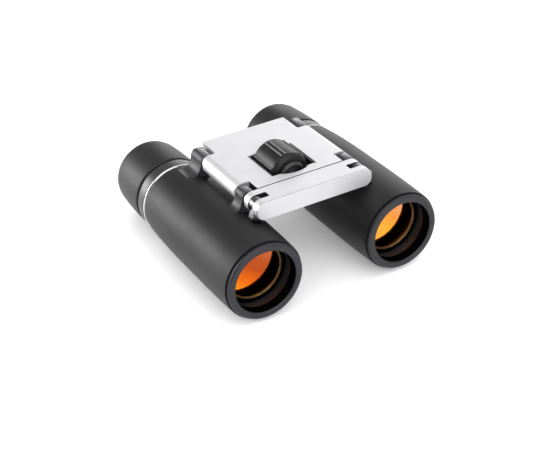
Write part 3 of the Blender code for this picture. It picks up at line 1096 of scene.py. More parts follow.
def cross_screws() -> Recipe:
    """Cross-head screws at the corners of a rectangle, heads down.

    Returns:
        The recipe, whose sizes are in metres.
    """
    recipe = Recipe("cross_screws")
    span_x = recipe.number("Span X", 32.0 * MM)
    span_y = recipe.number("Span Y", 41.0 * MM)
    centre_y = recipe.number("Centre Y", 0.0)
    level = recipe.number("Head Face", 37.0 * MM)
    head_radius = recipe.number("Head Radius", 1.5 * MM)
    head_height = recipe.number("Head Height", 0.8 * MM)
    shank_radius = recipe.number("Shank Radius", 0.8 * MM)
    shank_length = recipe.number("Shank Length", 3.6 * MM)

    head = recipe.add(
        "GeometryNodeMeshCone", {},
        {"Vertices": 40, "Side Segments": 4, "Fill Segments": 3,
         "Radius Top": head_radius, "Radius Bottom": recipe.math("MULTIPLY", head_radius, 0.86),
         "Depth": head_height},
    ).outputs[0]
    shank = recipe.add(
        "GeometryNodeMeshCylinder", {},
        {"Vertices": 24, "Side Segments": 6, "Radius": shank_radius,
         "Depth": recipe.math("ADD", shank_length, recipe.math("MULTIPLY", head_height, 0.5))},
    ).outputs[0]
    lift = recipe.math("ADD", recipe.math("MULTIPLY", head_height, 0.75),
                       recipe.math("MULTIPLY", shank_length, 0.5))
    raised = recipe.add(
        "GeometryNodeTransform", {}, {"Geometry": shank, "Translation": recipe.vector(0.0, 0.0, lift)}
    ).outputs[0]
    solid = recipe.add("GeometryNodeMeshBoolean", {"operation": "UNION", "solver": "EXACT"}, {})
    recipe.tree.links.new(head, solid.inputs["Mesh 2"])
    recipe.tree.links.new(raised, solid.inputs["Mesh 2"])
    arm = recipe.math("MULTIPLY", head_radius, 1.25)
    blade = recipe.math("MULTIPLY", head_radius, 0.26)
    depth = recipe.math("MULTIPLY", head_height, 0.6)
    cross = recipe.add("GeometryNodeMeshBoolean", {"operation": "UNION", "solver": "EXACT"}, {})
    for size in ((arm, blade), (blade, arm)):
        box = recipe.add(
            "GeometryNodeMeshCube", {}, {"Size": recipe.vector(size[0], size[1], depth)}
        ).outputs[0]
        recipe.tree.links.new(box, cross.inputs["Mesh 2"])
    sunk = recipe.add(
        "GeometryNodeTransform", {},
        {"Geometry": cross.outputs[0],
         "Translation": recipe.vector(0.0, 0.0, recipe.math("MULTIPLY", head_height, -0.5))},
    ).outputs[0]
    carved = recipe.add(
        "GeometryNodeMeshBoolean", {"operation": "DIFFERENCE", "solver": "EXACT"},
        {"Mesh 1": solid.outputs[0], "Mesh 2": sunk},
    )
    corners = recipe.add(
        "GeometryNodeMeshGrid", {},
        {"Size X": span_x, "Size Y": span_y, "Vertices X": 2, "Vertices Y": 2},
    ).outputs[0]
    height = recipe.math("ADD", level, recipe.math("MULTIPLY", head_height, 0.5))
    shifted = recipe.add(
        "GeometryNodeTransform", {},
        {"Geometry": corners, "Translation": recipe.vector(0.0, centre_y, height)},
    ).outputs[0]
    quarter = recipe.math("MULTIPLY", recipe.add("GeometryNodeInputIndex", {}, {}).outputs[0], 0.7)
    screws = recipe.add(
        "GeometryNodeInstanceOnPoints", {},
        {"Points": shifted, "Instance": carved.outputs[0], "Rotation": recipe.vector(0.0, 0.0, quarter)},
    ).outputs[0]
    recipe.close(screws)
    return recipe


def baffle_threads() -> Recipe:
    """Fine rings one behind another in a bore, which keep stray light down.

    Returns:
        The recipe, whose sizes are in metres.
    """
    recipe = Recipe("baffle_threads")
    count = recipe.number("Rings", 6)
    radius = recipe.number("Bore Radius", 13.0 * MM)
    depth = recipe.number("Ring Depth", 0.3 * MM)
    pitch = recipe.number("Pitch", 0.8 * MM)
    centre_x = recipe.number("Centre X", 0.0)
    front = recipe.number("Front Y", 0.0)
    centre_z = recipe.number("Centre Z", 0.0)
    path = recipe.add(
        "GeometryNodeCurvePrimitiveCircle", {}, {"Resolution": 96, "Radius": radius}
    ).outputs[0]
    tooth = recipe.add("GeometryNodeCurvePrimitiveCircle", {}, {"Resolution": 6, "Radius": depth}).outputs[0]
    ring = recipe.add("GeometryNodeCurveToMesh", {}, {"Curve": path, "Profile Curve": tooth}).outputs[0]
    line = recipe.add("GeometryNodePoints", {}, {"Count": count}).outputs[0]
    index = recipe.add("GeometryNodeInputIndex", {}, {}).outputs[0]
    y = recipe.math("ADD", front, recipe.math("MULTIPLY", index, pitch))
    placed = recipe.add(
        "GeometryNodeSetPosition", {}, {"Geometry": line, "Position": recipe.vector(centre_x, y, centre_z)}
    ).outputs[0]
    rings = recipe.add(
        "GeometryNodeInstanceOnPoints", {},
        {"Points": placed, "Instance": ring, "Rotation": (math.pi / 2, 0.0, 0.0)},
    ).outputs[0]
    recipe.close(rings)
    return recipe


# ---------------------------------------------------------------------------------------------
# The bridge
# ---------------------------------------------------------------------------------------------


@dataclass
class BridgeSection:
    """The section that both silver bridges share: a slab with a half round along each side."""

    node: Extent = field(default_factory=lambda: Extent.of("bridge_body"))
    pin: Extent = field(default_factory=lambda: Extent.of("right_hinge_pin"))
    eye_radius: float = 3.3
    eye_gap: float = 0.4

    @property
    def round_radius(self) -> float:
        """Half the bridge's thickness."""
        return (self.node.high.z - self.node.low.z) / 2

    @property
    def notch_x(self) -> float:
        """How far from the middle the bridge is cut back for the barrels' lugs."""
        return self.pin.axis[0] - self.eye_radius - self.eye_gap

    def outline(self, inset: float = 0.0) -> list[Point2]:
        """The whole section, counter-clockwise.

        Args:
            inset: How far inside the real section the outline lies.

        Returns:
            The outline in X and Z.
        """
        centre_x = self.node.high.x - self.round_radius
        centre_z = self.node.axis[1]
        radius = self.round_radius - inset
        right = arc((centre_x, centre_z), radius, -90.0, 90.0, 40)
        left = arc((-centre_x, centre_z), radius, 90.0, 270.0, 40)
        return right + left


@dataclass
class Bridge:
    """The silver bridge with its window, black wheel well, underside cover, screws and pins."""

    section: BridgeSection
    edge: float = 0.22
    gap: float = 0.3
    bush_gap: float = 0.2
    knuckle_ends: Point2 = (7.1, 12.5)
    knuckle_round: float = 1.6
    scoop_half_width: float = 6.9
    scoop_depth: float = 2.2
    well_wall: float = 0.6
    well_lip: float = 0.9
    mouth_half_width: float = 8.8
    mouth_ends: Point2 = (1.4, 0.7)
    nose_hole: float = 6.2
    screw_head: float = 0.8
    screw_shank: float = 0.8
    screw_without_shank: float = 0.9
    pin_rear: float = 46.3

    @property
    def screw_names(self) -> list[str]:
        """The nodes of the cover's screws, front and rear on the left and then on the right."""
        return [f"cover_screw_{side.word}_{end}" for side in Side for end in ("front", "rear")]

    def build(self) -> None:
        """Make every piece that rides on the bridge."""
        self.body()
        self.well()
        self.cover()
        self.screws()
        for side in Side:
            self.pin(side)

    def plan(self) -> list[Point2]:
        """The bridge seen from above: a plate whose knuckles stand out between the lugs.

        Returns:
            The outline in X and Y.
        """
        node = self.section.node
        notch_x = self.section.notch_x
        soft = self.knuckle_round
        start = node.front + self.knuckle_ends[0]
        stop = node.rear - self.knuckle_ends[1]
        right = [
            (notch_x, node.front, 0.25), (notch_x, start, 0.5), (node.high.x, start, soft),
            (node.high.x, stop, soft), (notch_x, stop, 0.9), (notch_x, node.rear, 0.35),
        ]
        left = [(-x, y, r) for x, y, r in reversed(right)]
        return filleted(right + left)

    def window(self) -> list[Point2]:
        """The wheel's opening in the plate, scooped out in front for the wheel's nose.

        Returns:
            The outline in X and Y.
        """
        well = Extent.of("wheel_well")
        half = well.high.x + self.gap
        front = well.front - self.gap
        rear = well.rear + self.gap
        width = self.scoop_half_width
        depth = self.scoop_depth
        radius = (width ** 2 + depth ** 2) / (2 * depth)
        swing = math.degrees(math.asin(width / radius))
        scoop = arc((0.0, front + radius - depth), radius, -90.0 - swing, -90.0 + swing, 24)
        return [(-half, rear), (-half, front)] + scoop + [(half, front), (half, rear)]

    def body(self) -> None:
        """The bridge itself, bored for its pins and spindle and recessed for its cover."""
        node = self.section.node
        piece = slab("bridge", self.section.outline(), node.front, node.rear)
        joined(piece, through(self.plan(), node), "INTERSECT")
        cut(piece, through(self.window(), node))
        for side in Side:
            pin = Extent.of(f"{side.word}_hinge_pin")
            cut(piece, drill(pin.radius + self.gap, node.front - OVERRUN, node.rear + OVERRUN, pin.axis))
        spindle = Extent.of("focus_spindle")
        bush = Extent.of("rear_bush")
        cut(piece, drill(bush.radius + self.bush_gap, node.front - OVERRUN, bush.rear + self.gap,
                         spindle.axis))
        cover = Extent.of("bridge_cover")
        wide = cover.high.x + self.gap
        recess = tablet(-wide, wide, cover.front - self.gap, cover.rear + self.gap, 0.8)
        cut(piece, slab("recess", recess, node.low.z - OVERRUN, cover.high.z + self.gap, "Z"))
        eased(piece, self.edge, 3)
        place(piece, "bridge", SILVER, "satin_silver", "bridge_body")
        # The plate's front end and its front notches' side walls are painted black: painted shade in the
        # seam and in the gaps round the lugs.
        paint(piece, BLACK, self.lies_in_front_gaps)

    def lies_in_front_gaps(self, at: Vector, out: Vector) -> bool:
        """Whether a face is the plate's front end or a side wall of its front notches, which take painted
        shade.

        Args:
            at: The face's centre in millimetres.
            out: Its normal.

        Returns:
            Whether it is.
        """
        front = self.section.node.front
        wall = self.section.notch_x + 0.1
        in_end = out.y < -0.9 and at.y < front + 0.05
        in_notch = at.y < front + self.knuckle_ends[0] + 0.1 and wall - 0.3 < abs(at.x) < wall
        return in_end or (abs(out.x) > 0.9 and in_notch)

    def well(self) -> None:
        """The black frame round the wheel."""
        node = Extent.of("wheel_well")
        wall = self.well_wall
        lip_top = self.section.node.low.z + self.well_lip
        piece = slab("wheel_well", tablet(node.low.x, node.high.x, node.front, node.rear, 0.3),
                     node.low.z, node.high.z, "Z")
        room = tablet(node.low.x + wall, node.high.x - wall, node.front + wall, node.rear - wall, 0.6)
        mouth = tablet(-self.mouth_half_width, self.mouth_half_width,
                       node.front + self.mouth_ends[0], node.rear - self.mouth_ends[1], 0.5)
        cut(piece, slab("room", room, lip_top, node.high.z + OVERRUN, "Z"),
            slab("mouth", mouth, node.low.z - OVERRUN, lip_top + OVERRUN, "Z"))
        spindle = Extent.of("focus_spindle")
        axis = Extent.of("focus_wheel").axis
        cut(piece, drill(self.nose_hole, node.front - OVERRUN, node.front + wall + 0.1, axis),
            drill(spindle.radius + self.gap, node.front - OVERRUN, node.rear + OVERRUN, axis))
        eased(piece, 0.1, 1)
        place(piece, "bridge", BLACK, "black_plastic", "wheel_well")

    def cover(self) -> None:
        """The plate on the underside, with seats for its screws."""
        node = Extent.of("bridge_cover")
        well = Extent.of("wheel_well")
        piece = slab("underside_cover", tablet(node.low.x, node.high.x, node.front, node.rear, 0.7),
                     node.low.z, node.high.z, "Z")
        half = well.high.x + self.gap
        cut(piece, through(tablet(-half, half, well.front - self.gap, well.rear + self.gap, 0.4), node))
        for name in self.screw_names:
            screw = Extent.of(name)
            seat = arc((screw.axis[0], screw.middle), screw.radius + self.gap, 0.0, 360.0, 40)[:-1]
            cut(piece, through(seat, node))
        eased(piece, 0.15, 2)
        place(piece, "bridge", SILVER, "satin_silver", "bridge_cover")

    def screws(self) -> None:
        """The four cross-head screws of the cover."""
        left_front, left_rear, right_front, _ = (Extent.of(name) for name in self.screw_names)
        piece = cross_screws().make(
            "cover_screws", STEEL,
            Span_X=(right_front.axis[0] - left_front.axis[0]) * MM,
            Span_Y=(left_rear.middle - left_front.middle) * MM,
            Centre_Y=(left_front.middle + left_rear.middle) / 2 * MM,
            Head_Face=left_front.low.z * MM, Head_Radius=left_front.radius * MM,
            Head_Height=self.screw_head * MM, Shank_Radius=self.screw_shank * MM,
            Shank_Length=(left_front.high.z - left_front.low.z - self.screw_without_shank) * MM,
        )
        shade(piece, 30.0)
        place(piece, "bridge", STEEL, "steel", *self.screw_names)

    def pin(self, side: Side) -> None:
        """One hinge pin with domed ends.

        Args:
            side: The side it is on.
        """
        node = Extent.of(f"{side.word}_hinge_pin")
        rear = self.section.node.front + self.pin_rear
        profile = filleted([(0.0, rear, 0.0), (node.radius, rear, 0.5),
                            (node.radius, node.front, 0.5), (0.0, node.front, 0.0)], closed=False)
        piece = turned(f"{side.word}_pin", profile, node.axis, DRILL_SIDES)
        place(piece, "bridge", STEEL, "steel", f"{side.word}_hinge_pin")


@dataclass
class FrontBridge:
    """The sliding silver bridge in front, slotted at each side for an objective carrier's ring."""

    section: BridgeSection
    end_round: float = 0.9
    edge: float = 0.22
    slot_span: Point2 = (4.0, 7.6)
    slot_reach: float = 8.3
    seam: float = 0.2
    cap_line: Point2 = (0.50, 0.68)
    cap_line_depth: float = 0.25
    pin_gap: float = 0.3
    pin_wall: float = 1.3
    nut_gap: Point2 = (0.2, 0.3)

    def build(self) -> None:
        """Make the front bridge."""
        node = Extent.of("front_bridge")
        back = node.rear - self.seam
        inner = node.high.x - self.slot_reach
        start, stop = (node.front + edge for edge in self.slot_span)
        line = [node.front + edge for edge in self.cap_line]
        piece = slab("sliding_front", self.section.outline(), node.front, back)
        outline = tablet(node.low.x, node.high.x, node.front, back, self.end_round)
        joined(piece, through(outline, node), "INTERSECT")
        for side in Side:
            near = side.value * inner
            far = side.value * (node.high.x + 2 * OVERRUN)
            slot = filleted([(near, start, 0.5), (far, start, 0.0), (far, stop, 0.0), (near, stop, 0.5)])
            pin = Extent.of(f"{side.word}_hinge_pin")
            cut(piece, through(slot, node),
                drill(pin.radius + self.pin_gap, node.front + self.pin_wall, node.rear + OVERRUN, pin.axis))
        nut = Extent.of("focus_nut")
        cut(piece, drill(nut.radius + self.nut_gap[0], nut.front - self.nut_gap[1], node.rear + OVERRUN,
                         nut.axis))
        eased(piece, self.edge, 3)
        groove = slab("groove", self.section.outline(-OVERRUN), *line)
        core = self.section.outline(self.cap_line_depth)
        cut(groove, slab("core", core, node.front - OVERRUN, node.rear + OVERRUN))
        cut(piece, groove)
        weighted(piece)
        place(piece, "sliding_bridge", SILVER, "satin_silver", "front_bridge")

        def lies_in_gap(at: Vector, out: Vector) -> bool:
            """Whether a face is a slot's wall, the back end or in the groove behind the front edge, which
            all take painted shade.

            Args:
                at: The face's centre in millimetres.
                out: Its normal.

            Returns:
                Whether it is.
            """
            in_slot = abs(at.x) > inner - 0.05 and start - 0.06 < at.y < stop + 0.06
            in_back = out.y > 0.9 and at.y > back - 0.05
            return (in_slot and abs(out.z) < 0.3) or in_back or line[0] - 0.01 < at.y < line[1] + 0.01

        # The slots' walls, the back end and the groove are painted black: painted shade in the gaps and in
        # the crease.
        paint(piece, BLACK, lies_in_gap)


@dataclass
class FocusWheel:
    """The rubber focus wheel with raised bars, its hub cap, spindle and clip."""

    bar_pairs: int = 6
    bar_length: float = 14.0
    bar_width: float = 0.85
    bar_spacing: float = 1.95
    bar_stand: float = 0.45
    bar_turn: float = -13.0
    bar_inset: float = 1.0
    dome: float = 2.2
    hub: float = 6.4
    hub_depth: float = 1.2
    cap_nose: float = 5.9
    thread_length: float = 14.0
    thread_pitch: float = 0.7
    thread_depth: float = 0.16

    def build(self) -> None:
        """Make every piece that turns with the wheel."""
        node = Extent.of("focus_wheel")
        self.rubber(node)
        self.bars(node)
        self.cap(node)
        self.spindle()

    @property
    def drum(self) -> float:
        """The radius of the wheel's rubber under its bars."""
        return Extent.of("focus_wheel").radius - self.bar_stand

    def rubber(self, node: Extent) -> None:
        """The wheel: a drum behind, drawn in to a nose in front.

        Args:
            node: The wheel's box.
        """
        hub = self.hub
        drum = self.drum
        floor = node.front + self.hub_depth
        turns = [math.radians(90.0 * i / 12) for i in range(12)]
        crown = [(hub + (drum - hub) * math.cos(turn), node.front + self.dome * (1 - math.sin(turn)), 0.0)
                 for turn in turns]
        outside = [(hub, node.rear, 0.4), (drum, node.rear, 0.8), *crown, (hub - 0.6, node.front, 0.2)]
        inside = [(hub - 1.1, node.front, 0.2), (hub - 1.1, floor, 0.0), (hub, floor, 0.0)]
        piece = turned("focus_wheel_rubber", filleted(outside + inside), node.axis, 160)
        place(piece, "focus", WHEEL, "wheel_rubber", "focus_wheel")

    def bars(self, node: Extent) -> None:
        """The pairs of raised bars along the drum.

        Args:
            node: The wheel's box.
        """
        piece = raised_bars().make(
            "focus_wheel_bars", BAR,
            Pairs=self.bar_pairs, Radius=(self.drum - self.bar_width / 2 + self.bar_stand) * MM,
            Length=self.bar_length * MM, Width=self.bar_width * MM, Spacing=self.bar_spacing * MM,
            Centre_X=node.axis[0] * MM, Centre_Z=node.axis[1] * MM,
            Centre_Y=(node.rear - self.bar_inset - self.bar_length / 2) * MM,
            Turn=math.radians(self.bar_turn),
        )
        shade(piece, 60.0)
        place(piece, "focus", BAR, "wheel_rubber")

    def cap(self, node: Extent) -> None:
        """The hub cap: a nose in front of the wheel with a dished face and a ring in it.

        Args:
            node: The wheel's box.
        """
        cap = Extent.of("hub_cap")
        nose = self.cap_nose
        face = Extent.of("wheel_well").front + 0.35
        outside = [(cap.radius, cap.rear, 0.0), (cap.radius, node.front - 0.2, 0.0),
                   (nose, node.front - 0.2, 0.3), (nose, face + 0.9, 0.6)]
        rim = [(nose - 0.9, face, 0.3), (nose - 1.5, face, 0.2), (nose - 1.8, face + 0.8, 0.2)]
        ring = [(3.1, face + 0.8, 0.1), (2.9, face + 0.2, 0.2), (2.3, face + 0.2, 0.2),
                (1.8, face + 0.7, 0.0)]
        profile = outside + rim + ring + [(1.8, cap.rear, 0.0)]
        piece = turned("hub_cap_ring", filleted(profile), cap.axis, 96)
        place(piece, "focus", BLACK, "black_plastic", "hub_cap")

    def spindle(self) -> None:
        """The spindle with its thread, and the clip on it."""
        node = Extent.of("focus_spindle")
        root = node.radius - self.thread_depth
        points = [(0.0, node.rear), (node.radius - 0.3, node.rear), (node.radius, node.rear - 0.3)]
        y = node.front + self.thread_length
        while y > node.front + self.thread_pitch:
            points += [(node.radius, y), (root, y - self.thread_pitch / 2)]
            y -= self.thread_pitch
        points += [(root, node.front + 0.2), (node.radius - 0.4, node.front), (0.0, node.front)]
        piece = turned("threaded_spindle", points, node.axis, 40)
        place(piece, "focus", STEEL, "steel", "focus_spindle")
        clip = Extent.of("spindle_clip")
        hole = node.radius + 0.3
        ring = filleted([(clip.radius, clip.rear, 0.1), (clip.radius, clip.front, 0.1),
                         (hole, clip.front, 0.0), (hole, clip.rear, 0.0)])
        piece = turned("retaining_clip", ring, clip.axis, 64)
        place(piece, "focus", STEEL, "steel", "spindle_clip")


# ---------------------------------------------------------------------------------------------
# The barrels
# ---------------------------------------------------------------------------------------------


@dataclass
class Barrel:
    """One barrel: armour, casting with its lugs, bezel, trim, objective carrier and eyepiece."""

    side: Side
    section: BridgeSection
    lug_neck: Point2 = (2.4, 2.95)
    lug_flare: Point2 = (1.0, 4.2)
    lug_flat: float = 2.85
    front_lug: Point2 = (0.4, 6.7)
    rear_lug: Point2 = (36.4, 46.0)
    pocket_gap: float = 0.35
    pin_gap: float = 0.25
    armour_ends: Point2 = (17.15, 16.95)
    armour_bore: float = 16.6
    fullest: float = 0.46
    tube: Point2 = (14.9, 16.3)
    tube_neck: Point2 = (12.7, 14.2)
    mouth: float = 13.8
    cell_radius: float = 14.5
    arm_span: Point2 = (4.3, 7.3)
    arm_slot_span: Point2 = (1.4, 7.7)

    def __post_init__(self) -> None:
        """Read the barrel's places from the frame."""
        self.skin = Extent.of(f"{self.side.word}_armour")
        self.axis = self.skin.axis
        self.half = f"{self.side.word}_half"
        self.carrier = f"{self.side.word}_objective"
        self.eyepiece = "dioptre" if self.side is Side.RIGHT else self.half
        self.hinge = Extent.of(self.named("hinge_pin")).axis

    def named(self, what: str) -> str:
        """A name with the barrel's side before it."""
        return f"{self.side.word}_{what}"

    def build(self) -> None:
        """Make every piece of the barrel."""
        front = self.section.node.front
        lug_spans = [(front + start, front + stop) for start, stop in (self.front_lug, self.rear_lug)]
        self.armour(lug_spans)
        self.casting(lug_spans)
        self.bezel()
        self.trim()
        self.objective_cell()
        self.carrier_arm()
        self.objective_lens()
        self.baffle()
        self.collar()
        self.eye_tube()
        self.eyecup()

    def turn(self, name: str, node: str, profile: Sequence[Corner], body: str, finish: Finish, slot: str,
             segments: int = 192, step: float = 15.0) -> bpy.types.Object:
        """Make a piece that is turned about the barrel's axis.

        Args:
            name: The piece's name without its side.
            node: The node that it stands for, without its side.
            profile: Corners of radius, Y and fillet.
            body: The body it rides on.
            finish: Its finish.
            slot: The record's material slot.
            segments: The number of segments round it.
            step: The largest turn between two points on a fillet, in degrees.

        Returns:
            The piece.
        """
        piece = turned(self.named(name), filleted(profile, step=step), self.axis, segments)
        return place(piece, body, finish, slot, self.named(node))

    def link(self, eye: float, neck: Point2, flare: Point2, foot: float, surface: float) -> list[Point2]:
        """The outline of an arm from an eye round the hinge to a foot on the barrel.

        Args:
            eye: The eye's radius.
            neck: How far the inner and the outer flank lie from the arm's middle.
            flare: The radii with which the inner and the outer flank run out into the barrel.
            foot: The radius about the barrel's axis where the outline ends.
            surface: The radius of the barrel's surface, where the flares end.

        Returns:
            The outline in X and Z.
        """
        sign = self.side.value
        hinge = Vector((sign * (self.hinge[0] - self.axis[0]), self.hinge[1] - self.axis[1]))
        along = -hinge.normalized()
        across = Vector((-along.y, along.x))
        distance = hinge.length

        def flank(way: int, half: float, radius: float) -> list[Point2]:
            """One flank of the arm, from the eye down to the foot.

            Args:
                way: -1 for the inner and 1 for the outer flank.
                half: How far it lies from the arm's middle.
                radius: The radius with which it runs out.

            Returns:
                The flank's points, from the eye down.
            """
            sink = distance - math.sqrt(surface ** 2 - (half + radius) ** 2)
            steps = [(sink - radius + radius * math.sin(turn), half + radius * (1 - math.cos(turn)))
                     for turn in (math.radians(90.0 * i / 10) for i in range(11))]
            steps.append((distance - foot, half + radius))
            spots = [hinge + along * down + across * way * aside for down, aside in steps]
            return [(spot.x, spot.y) for spot in spots]

        heading = math.degrees(math.atan2(along.y, along.x))
        inner, outer = (math.degrees(math.asin(half / eye)) for half in neck)
        ring = arc((hinge.x, hinge.y), eye, heading + outer, heading + 360.0 - inner, 48)
        outline = ring + flank(-1, neck[0], flare[0]) + flank(1, neck[1], flare[1])[::-1]
        return [(self.axis[0] + sign * x, self.axis[1] + z) for x, z in outline]

    def armour(self, lug_spans: Sequence[Point2]) -> None:
        """The rubber skin, open where the lugs and the carrier's arm come through.

        Args:
            lug_spans: Where each lug starts and ends in Y.
        """
        node = self.skin
        r = node.radius
        length = node.rear - node.front
        curve = []
        steps = 26
        for i in range(steps + 1):
            share = i / steps
            swell = 1.0 - (abs(share - self.fullest) / (1 - self.fullest)) ** 3.0
            end = self.armour_ends[1] if share > self.fullest else self.armour_ends[0]
            curve.append((end + (r - end) * max(swell, 0.0) ** 0.8, node.front + share * length))
        profile = curve[::-1] + [(self.armour_bore, node.front), (self.armour_bore, node.rear)]
        piece = turned(self.named("rubber_armour"), profile, self.axis, 192)
        surface = r - 0.05
        foot = 14.0
        neck = (self.lug_neck[0] + self.pocket_gap, self.lug_neck[1] + self.pocket_gap)
        for start, stop in lug_spans:
            pocket = self.link(self.section.eye_radius + 0.5, neck, self.lug_flare, foot, surface)
            cut(piece, slab("pocket", pocket, start - self.pocket_gap, stop + self.pocket_gap))
        front = Extent.of("front_bridge").front
        slot = self.link(self.section.eye_radius, (1.8, 1.8), (0.3, 0.3), foot, surface)
        cut(piece, slab("arm_slot", slot, front + self.arm_slot_span[0], front + self.arm_slot_span[1]))
        shade(piece, 32.0)
        place(piece, self.half, ARMOUR, "soft_touch_rubber", self.named("armour"))

    def casting(self, lug_spans: Sequence[Point2]) -> None:
        """The cast tube with its two hinge lugs.

        Args:
            lug_spans: Where each lug starts and ends in Y.
        """
        node = Extent.of(self.named("barrel"))
        bore, tube = self.tube
        neck_bore, neck = self.tube_neck
        shoulder = self.skin.rear
        profile = [(neck, node.rear, 0.3), (neck, shoulder, 0.0), (tube, shoulder, 0.3),
                   (tube, node.front, 0.3), (bore, node.front, 0.2), (bore, shoulder - 2.6, 0.0),
                   (neck_bore, shoulder - 1.4, 0.0), (neck_bore, node.rear, 0.2)]
        piece = turned(self.named("casting"), filleted(profile), self.axis, 128)
        pin = Extent.of(self.named("hinge_pin"))
        outline = self.link(self.section.eye_radius, self.lug_neck, self.lug_flare, 15.4,
                            self.skin.radius - 0.15)
        middle, level = pin.axis
        flat = level + self.lug_flat
        shaving = [(middle - 6.0, flat), (middle + 6.0, flat),
                   (middle + 6.0, flat + 5.0), (middle - 6.0, flat + 5.0)]
        for start, stop in lug_spans:
            lug = slab("lug", outline, start, stop)
            cut(lug, drill(pin.radius + self.pin_gap, start - OVERRUN, stop + OVERRUN, pin.axis),
                slab("shaving", shaving, start - OVERRUN, stop + OVERRUN))
            eased(lug, 0.3, 3)
            joined(piece, lug, "UNION")
        shade(piece, 35.0)
        place(piece, self.half, CASTING, "dark_plastic", self.named("barrel"))
        paint(piece, DARK_STEEL, lambda at, out: out.z > 0.995 and abs(at.z - flat) < 0.02)

    def bezel(self) -> None:
        """The slate ring round the objective's opening, with a step and a fine groove."""
        node = Extent.of(self.named("front_bezel"))
        r = node.radius
        mouth = self.mouth
        face = node.front
        outside = [(r - 0.15, face + 2.0, 0.1), (r, face + 1.2, 0.5), (r, face + 0.7, 0.5),
                   (r - 0.65, face, 0.5)]
        inside = [(mouth + 0.55, face, 0.35), (mouth, face + 0.45, 0.3), (mouth, node.rear, 0.1),
                  (14.6, node.rear, 0.1), (14.6, face + 2.0, 0.1)]
        piece = self.turn("objective_bezel", "front_bezel", outside + inside, self.half, BEZEL,
                          "slate_bezel", step=10.0)
        paint(piece, BAFFLE, lambda at, out: at.y > face + 0.4
              and math.hypot(at.x - self.axis[0], at.z - self.axis[1]) < 14.7)

    def trim(self) -> None:
        """The bright ring behind the armour."""
        node = Extent.of(self.named("trim_ring"))
        r = node.radius
        front = node.middle - 0.28
        rear = node.middle + 0.28
        bead = [(16.8, rear, 0.0), (r - 0.1, rear, 0.15), (r, node.middle, 0.5), (r - 0.1, front, 0.15),
                (16.8, front, 0.0)]
        profile = [(16.6, node.rear, 0.0), *bead, (16.6, node.front, 0.0), (14.5, node.front, 0.0),
                   (14.5, node.rear, 0.0)]
        self.turn("bright_ring", "trim_ring", profile, self.half, CHROME, "chrome", step=8.0)

    def objective_cell(self) -> None:
        """The tube that holds the objective and its retaining ring."""
        node = Extent.of(self.named("objective_cell"))
        ring = Extent.of(self.named("objective_ring"))
        cell = self.cell_radius
        seat = ring.radius + 0.3
        step = node.front + 6.0
        profile = [(cell, node.rear, 0.2), (cell, node.front, 0.3), (seat, node.front, 0.2),
                   (seat, step, 0.0), (seat - 1.0, step, 0.0), (seat - 1.0, node.rear, 0.2)]
        self.turn("lens_cell", "objective_cell", profile, self.carrier, BAFFLE, "black_plastic", 128)

    def carrier_arm(self) -> None:
        """The ring round the hinge pin with its arm down to the cell."""
        front = Extent.of("front_bridge")
        pin = Extent.of(self.named("hinge_pin"))
        outline = self.link(3.05, (1.45, 1.45), (0.2, 0.2), 14.6, self.skin.radius - 1.0)
        start, stop = (front.front + edge for edge in self.arm_span)
        arm = slab(self.named("carrier_ring"), outline, start, stop)
        cut(arm, drill(pin.radius + self.pin_gap, front.front, front.rear, pin.axis))
        eased(arm, 0.25, 2)
        place(arm, self.carrier, DARK_STEEL, "steel", self.named("objective_cell"))

    def objective_lens(self) -> None:
        """The gilt retaining ring and the coated lens behind it."""
        ring = Extent.of(self.named("objective_ring"))
        glass = Extent.of(self.named("objective_lens"))
        r = ring.radius
        profile = [(r, ring.rear, 0.1), (r, ring.front, 0.15), (r - 0.35, ring.front, 0.1),
                   (r - 0.5, ring.front + 0.35, 0.1), (r - 0.8, ring.front + 0.35, 0.1),
                   (r - 1.0, ring.rear - 0.25, 0.1), (r - 1.0, ring.rear, 0.0)]
        self.turn("retaining_ring", "objective_ring", profile, self.carrier, GOLD_RING, "brass", 160)
        # The lens's colour is partly painted reflection, and it is lighter on the right lens than on the
        # left.
        coating = RubyCoating(self.named("ruby_coating"), *self.axis, glass.radius, LENS_PAINTED_REFLECTION[self.side])
        self.lens(self.named("front_lens"), glass, -0.25, -0.4, self.carrier, coating, "ruby_glass",
                  self.named("objective_lens"))

    def baffle(self) -> None:
        """The fine threads in the bezel's mouth."""
        threads = baffle_threads().make(
            self.named("baffle_threads"), BAFFLE, Rings=5, Bore_Radius=self.mouth * MM,
            Ring_Depth=0.14 * MM, Pitch=0.75 * MM, Centre_X=self.axis[0] * MM,
            Front_Y=(self.bezel_front() + 1.4) * MM, Centre_Z=self.axis[1] * MM,
        )
        shade(threads, 50.0)
        place(threads, self.half, BAFFLE, "slate_bezel")

    def bezel_front(self) -> float:
        """The Y of the objective's rim plane."""
        return Extent.of(self.named("front_bezel")).front

    def lens(self, name: str, node: Extent, front_bulge: float, rear_bulge: float, body: str,
             finish: Finish, slot: str, cad: str) -> None:
        """A lens with spherical faces.

        Args:
            name: The piece's name.
            node: The box of the node it stands for.
            front_bulge: How far the middle of the front face stands out from its edge.
            rear_bulge: The same for the rear face, below zero where it is hollow.
            body: The body it rides on.
            finish: Its finish.
            slot: The record's material slot.
            cad: The node it stands for.
        """
        steps = 18
        r = node.radius
        rear_edge = node.rear - max(rear_bulge, 0.0)
        front_edge = node.front + max(front_bulge, 0.0)
        rear = [(r * i / steps, rear_edge + rear_bulge * (1 - (i / steps) ** 2)) for i in range(steps + 1)]
        front = [(r * i / steps, front_edge - front_bulge * (1 - (i / steps) ** 2))
                 for i in range(steps + 1)]
        piece = turned(name, rear + front[::-1], self.axis, 96)
        place(piece, body, finish, slot, cad)

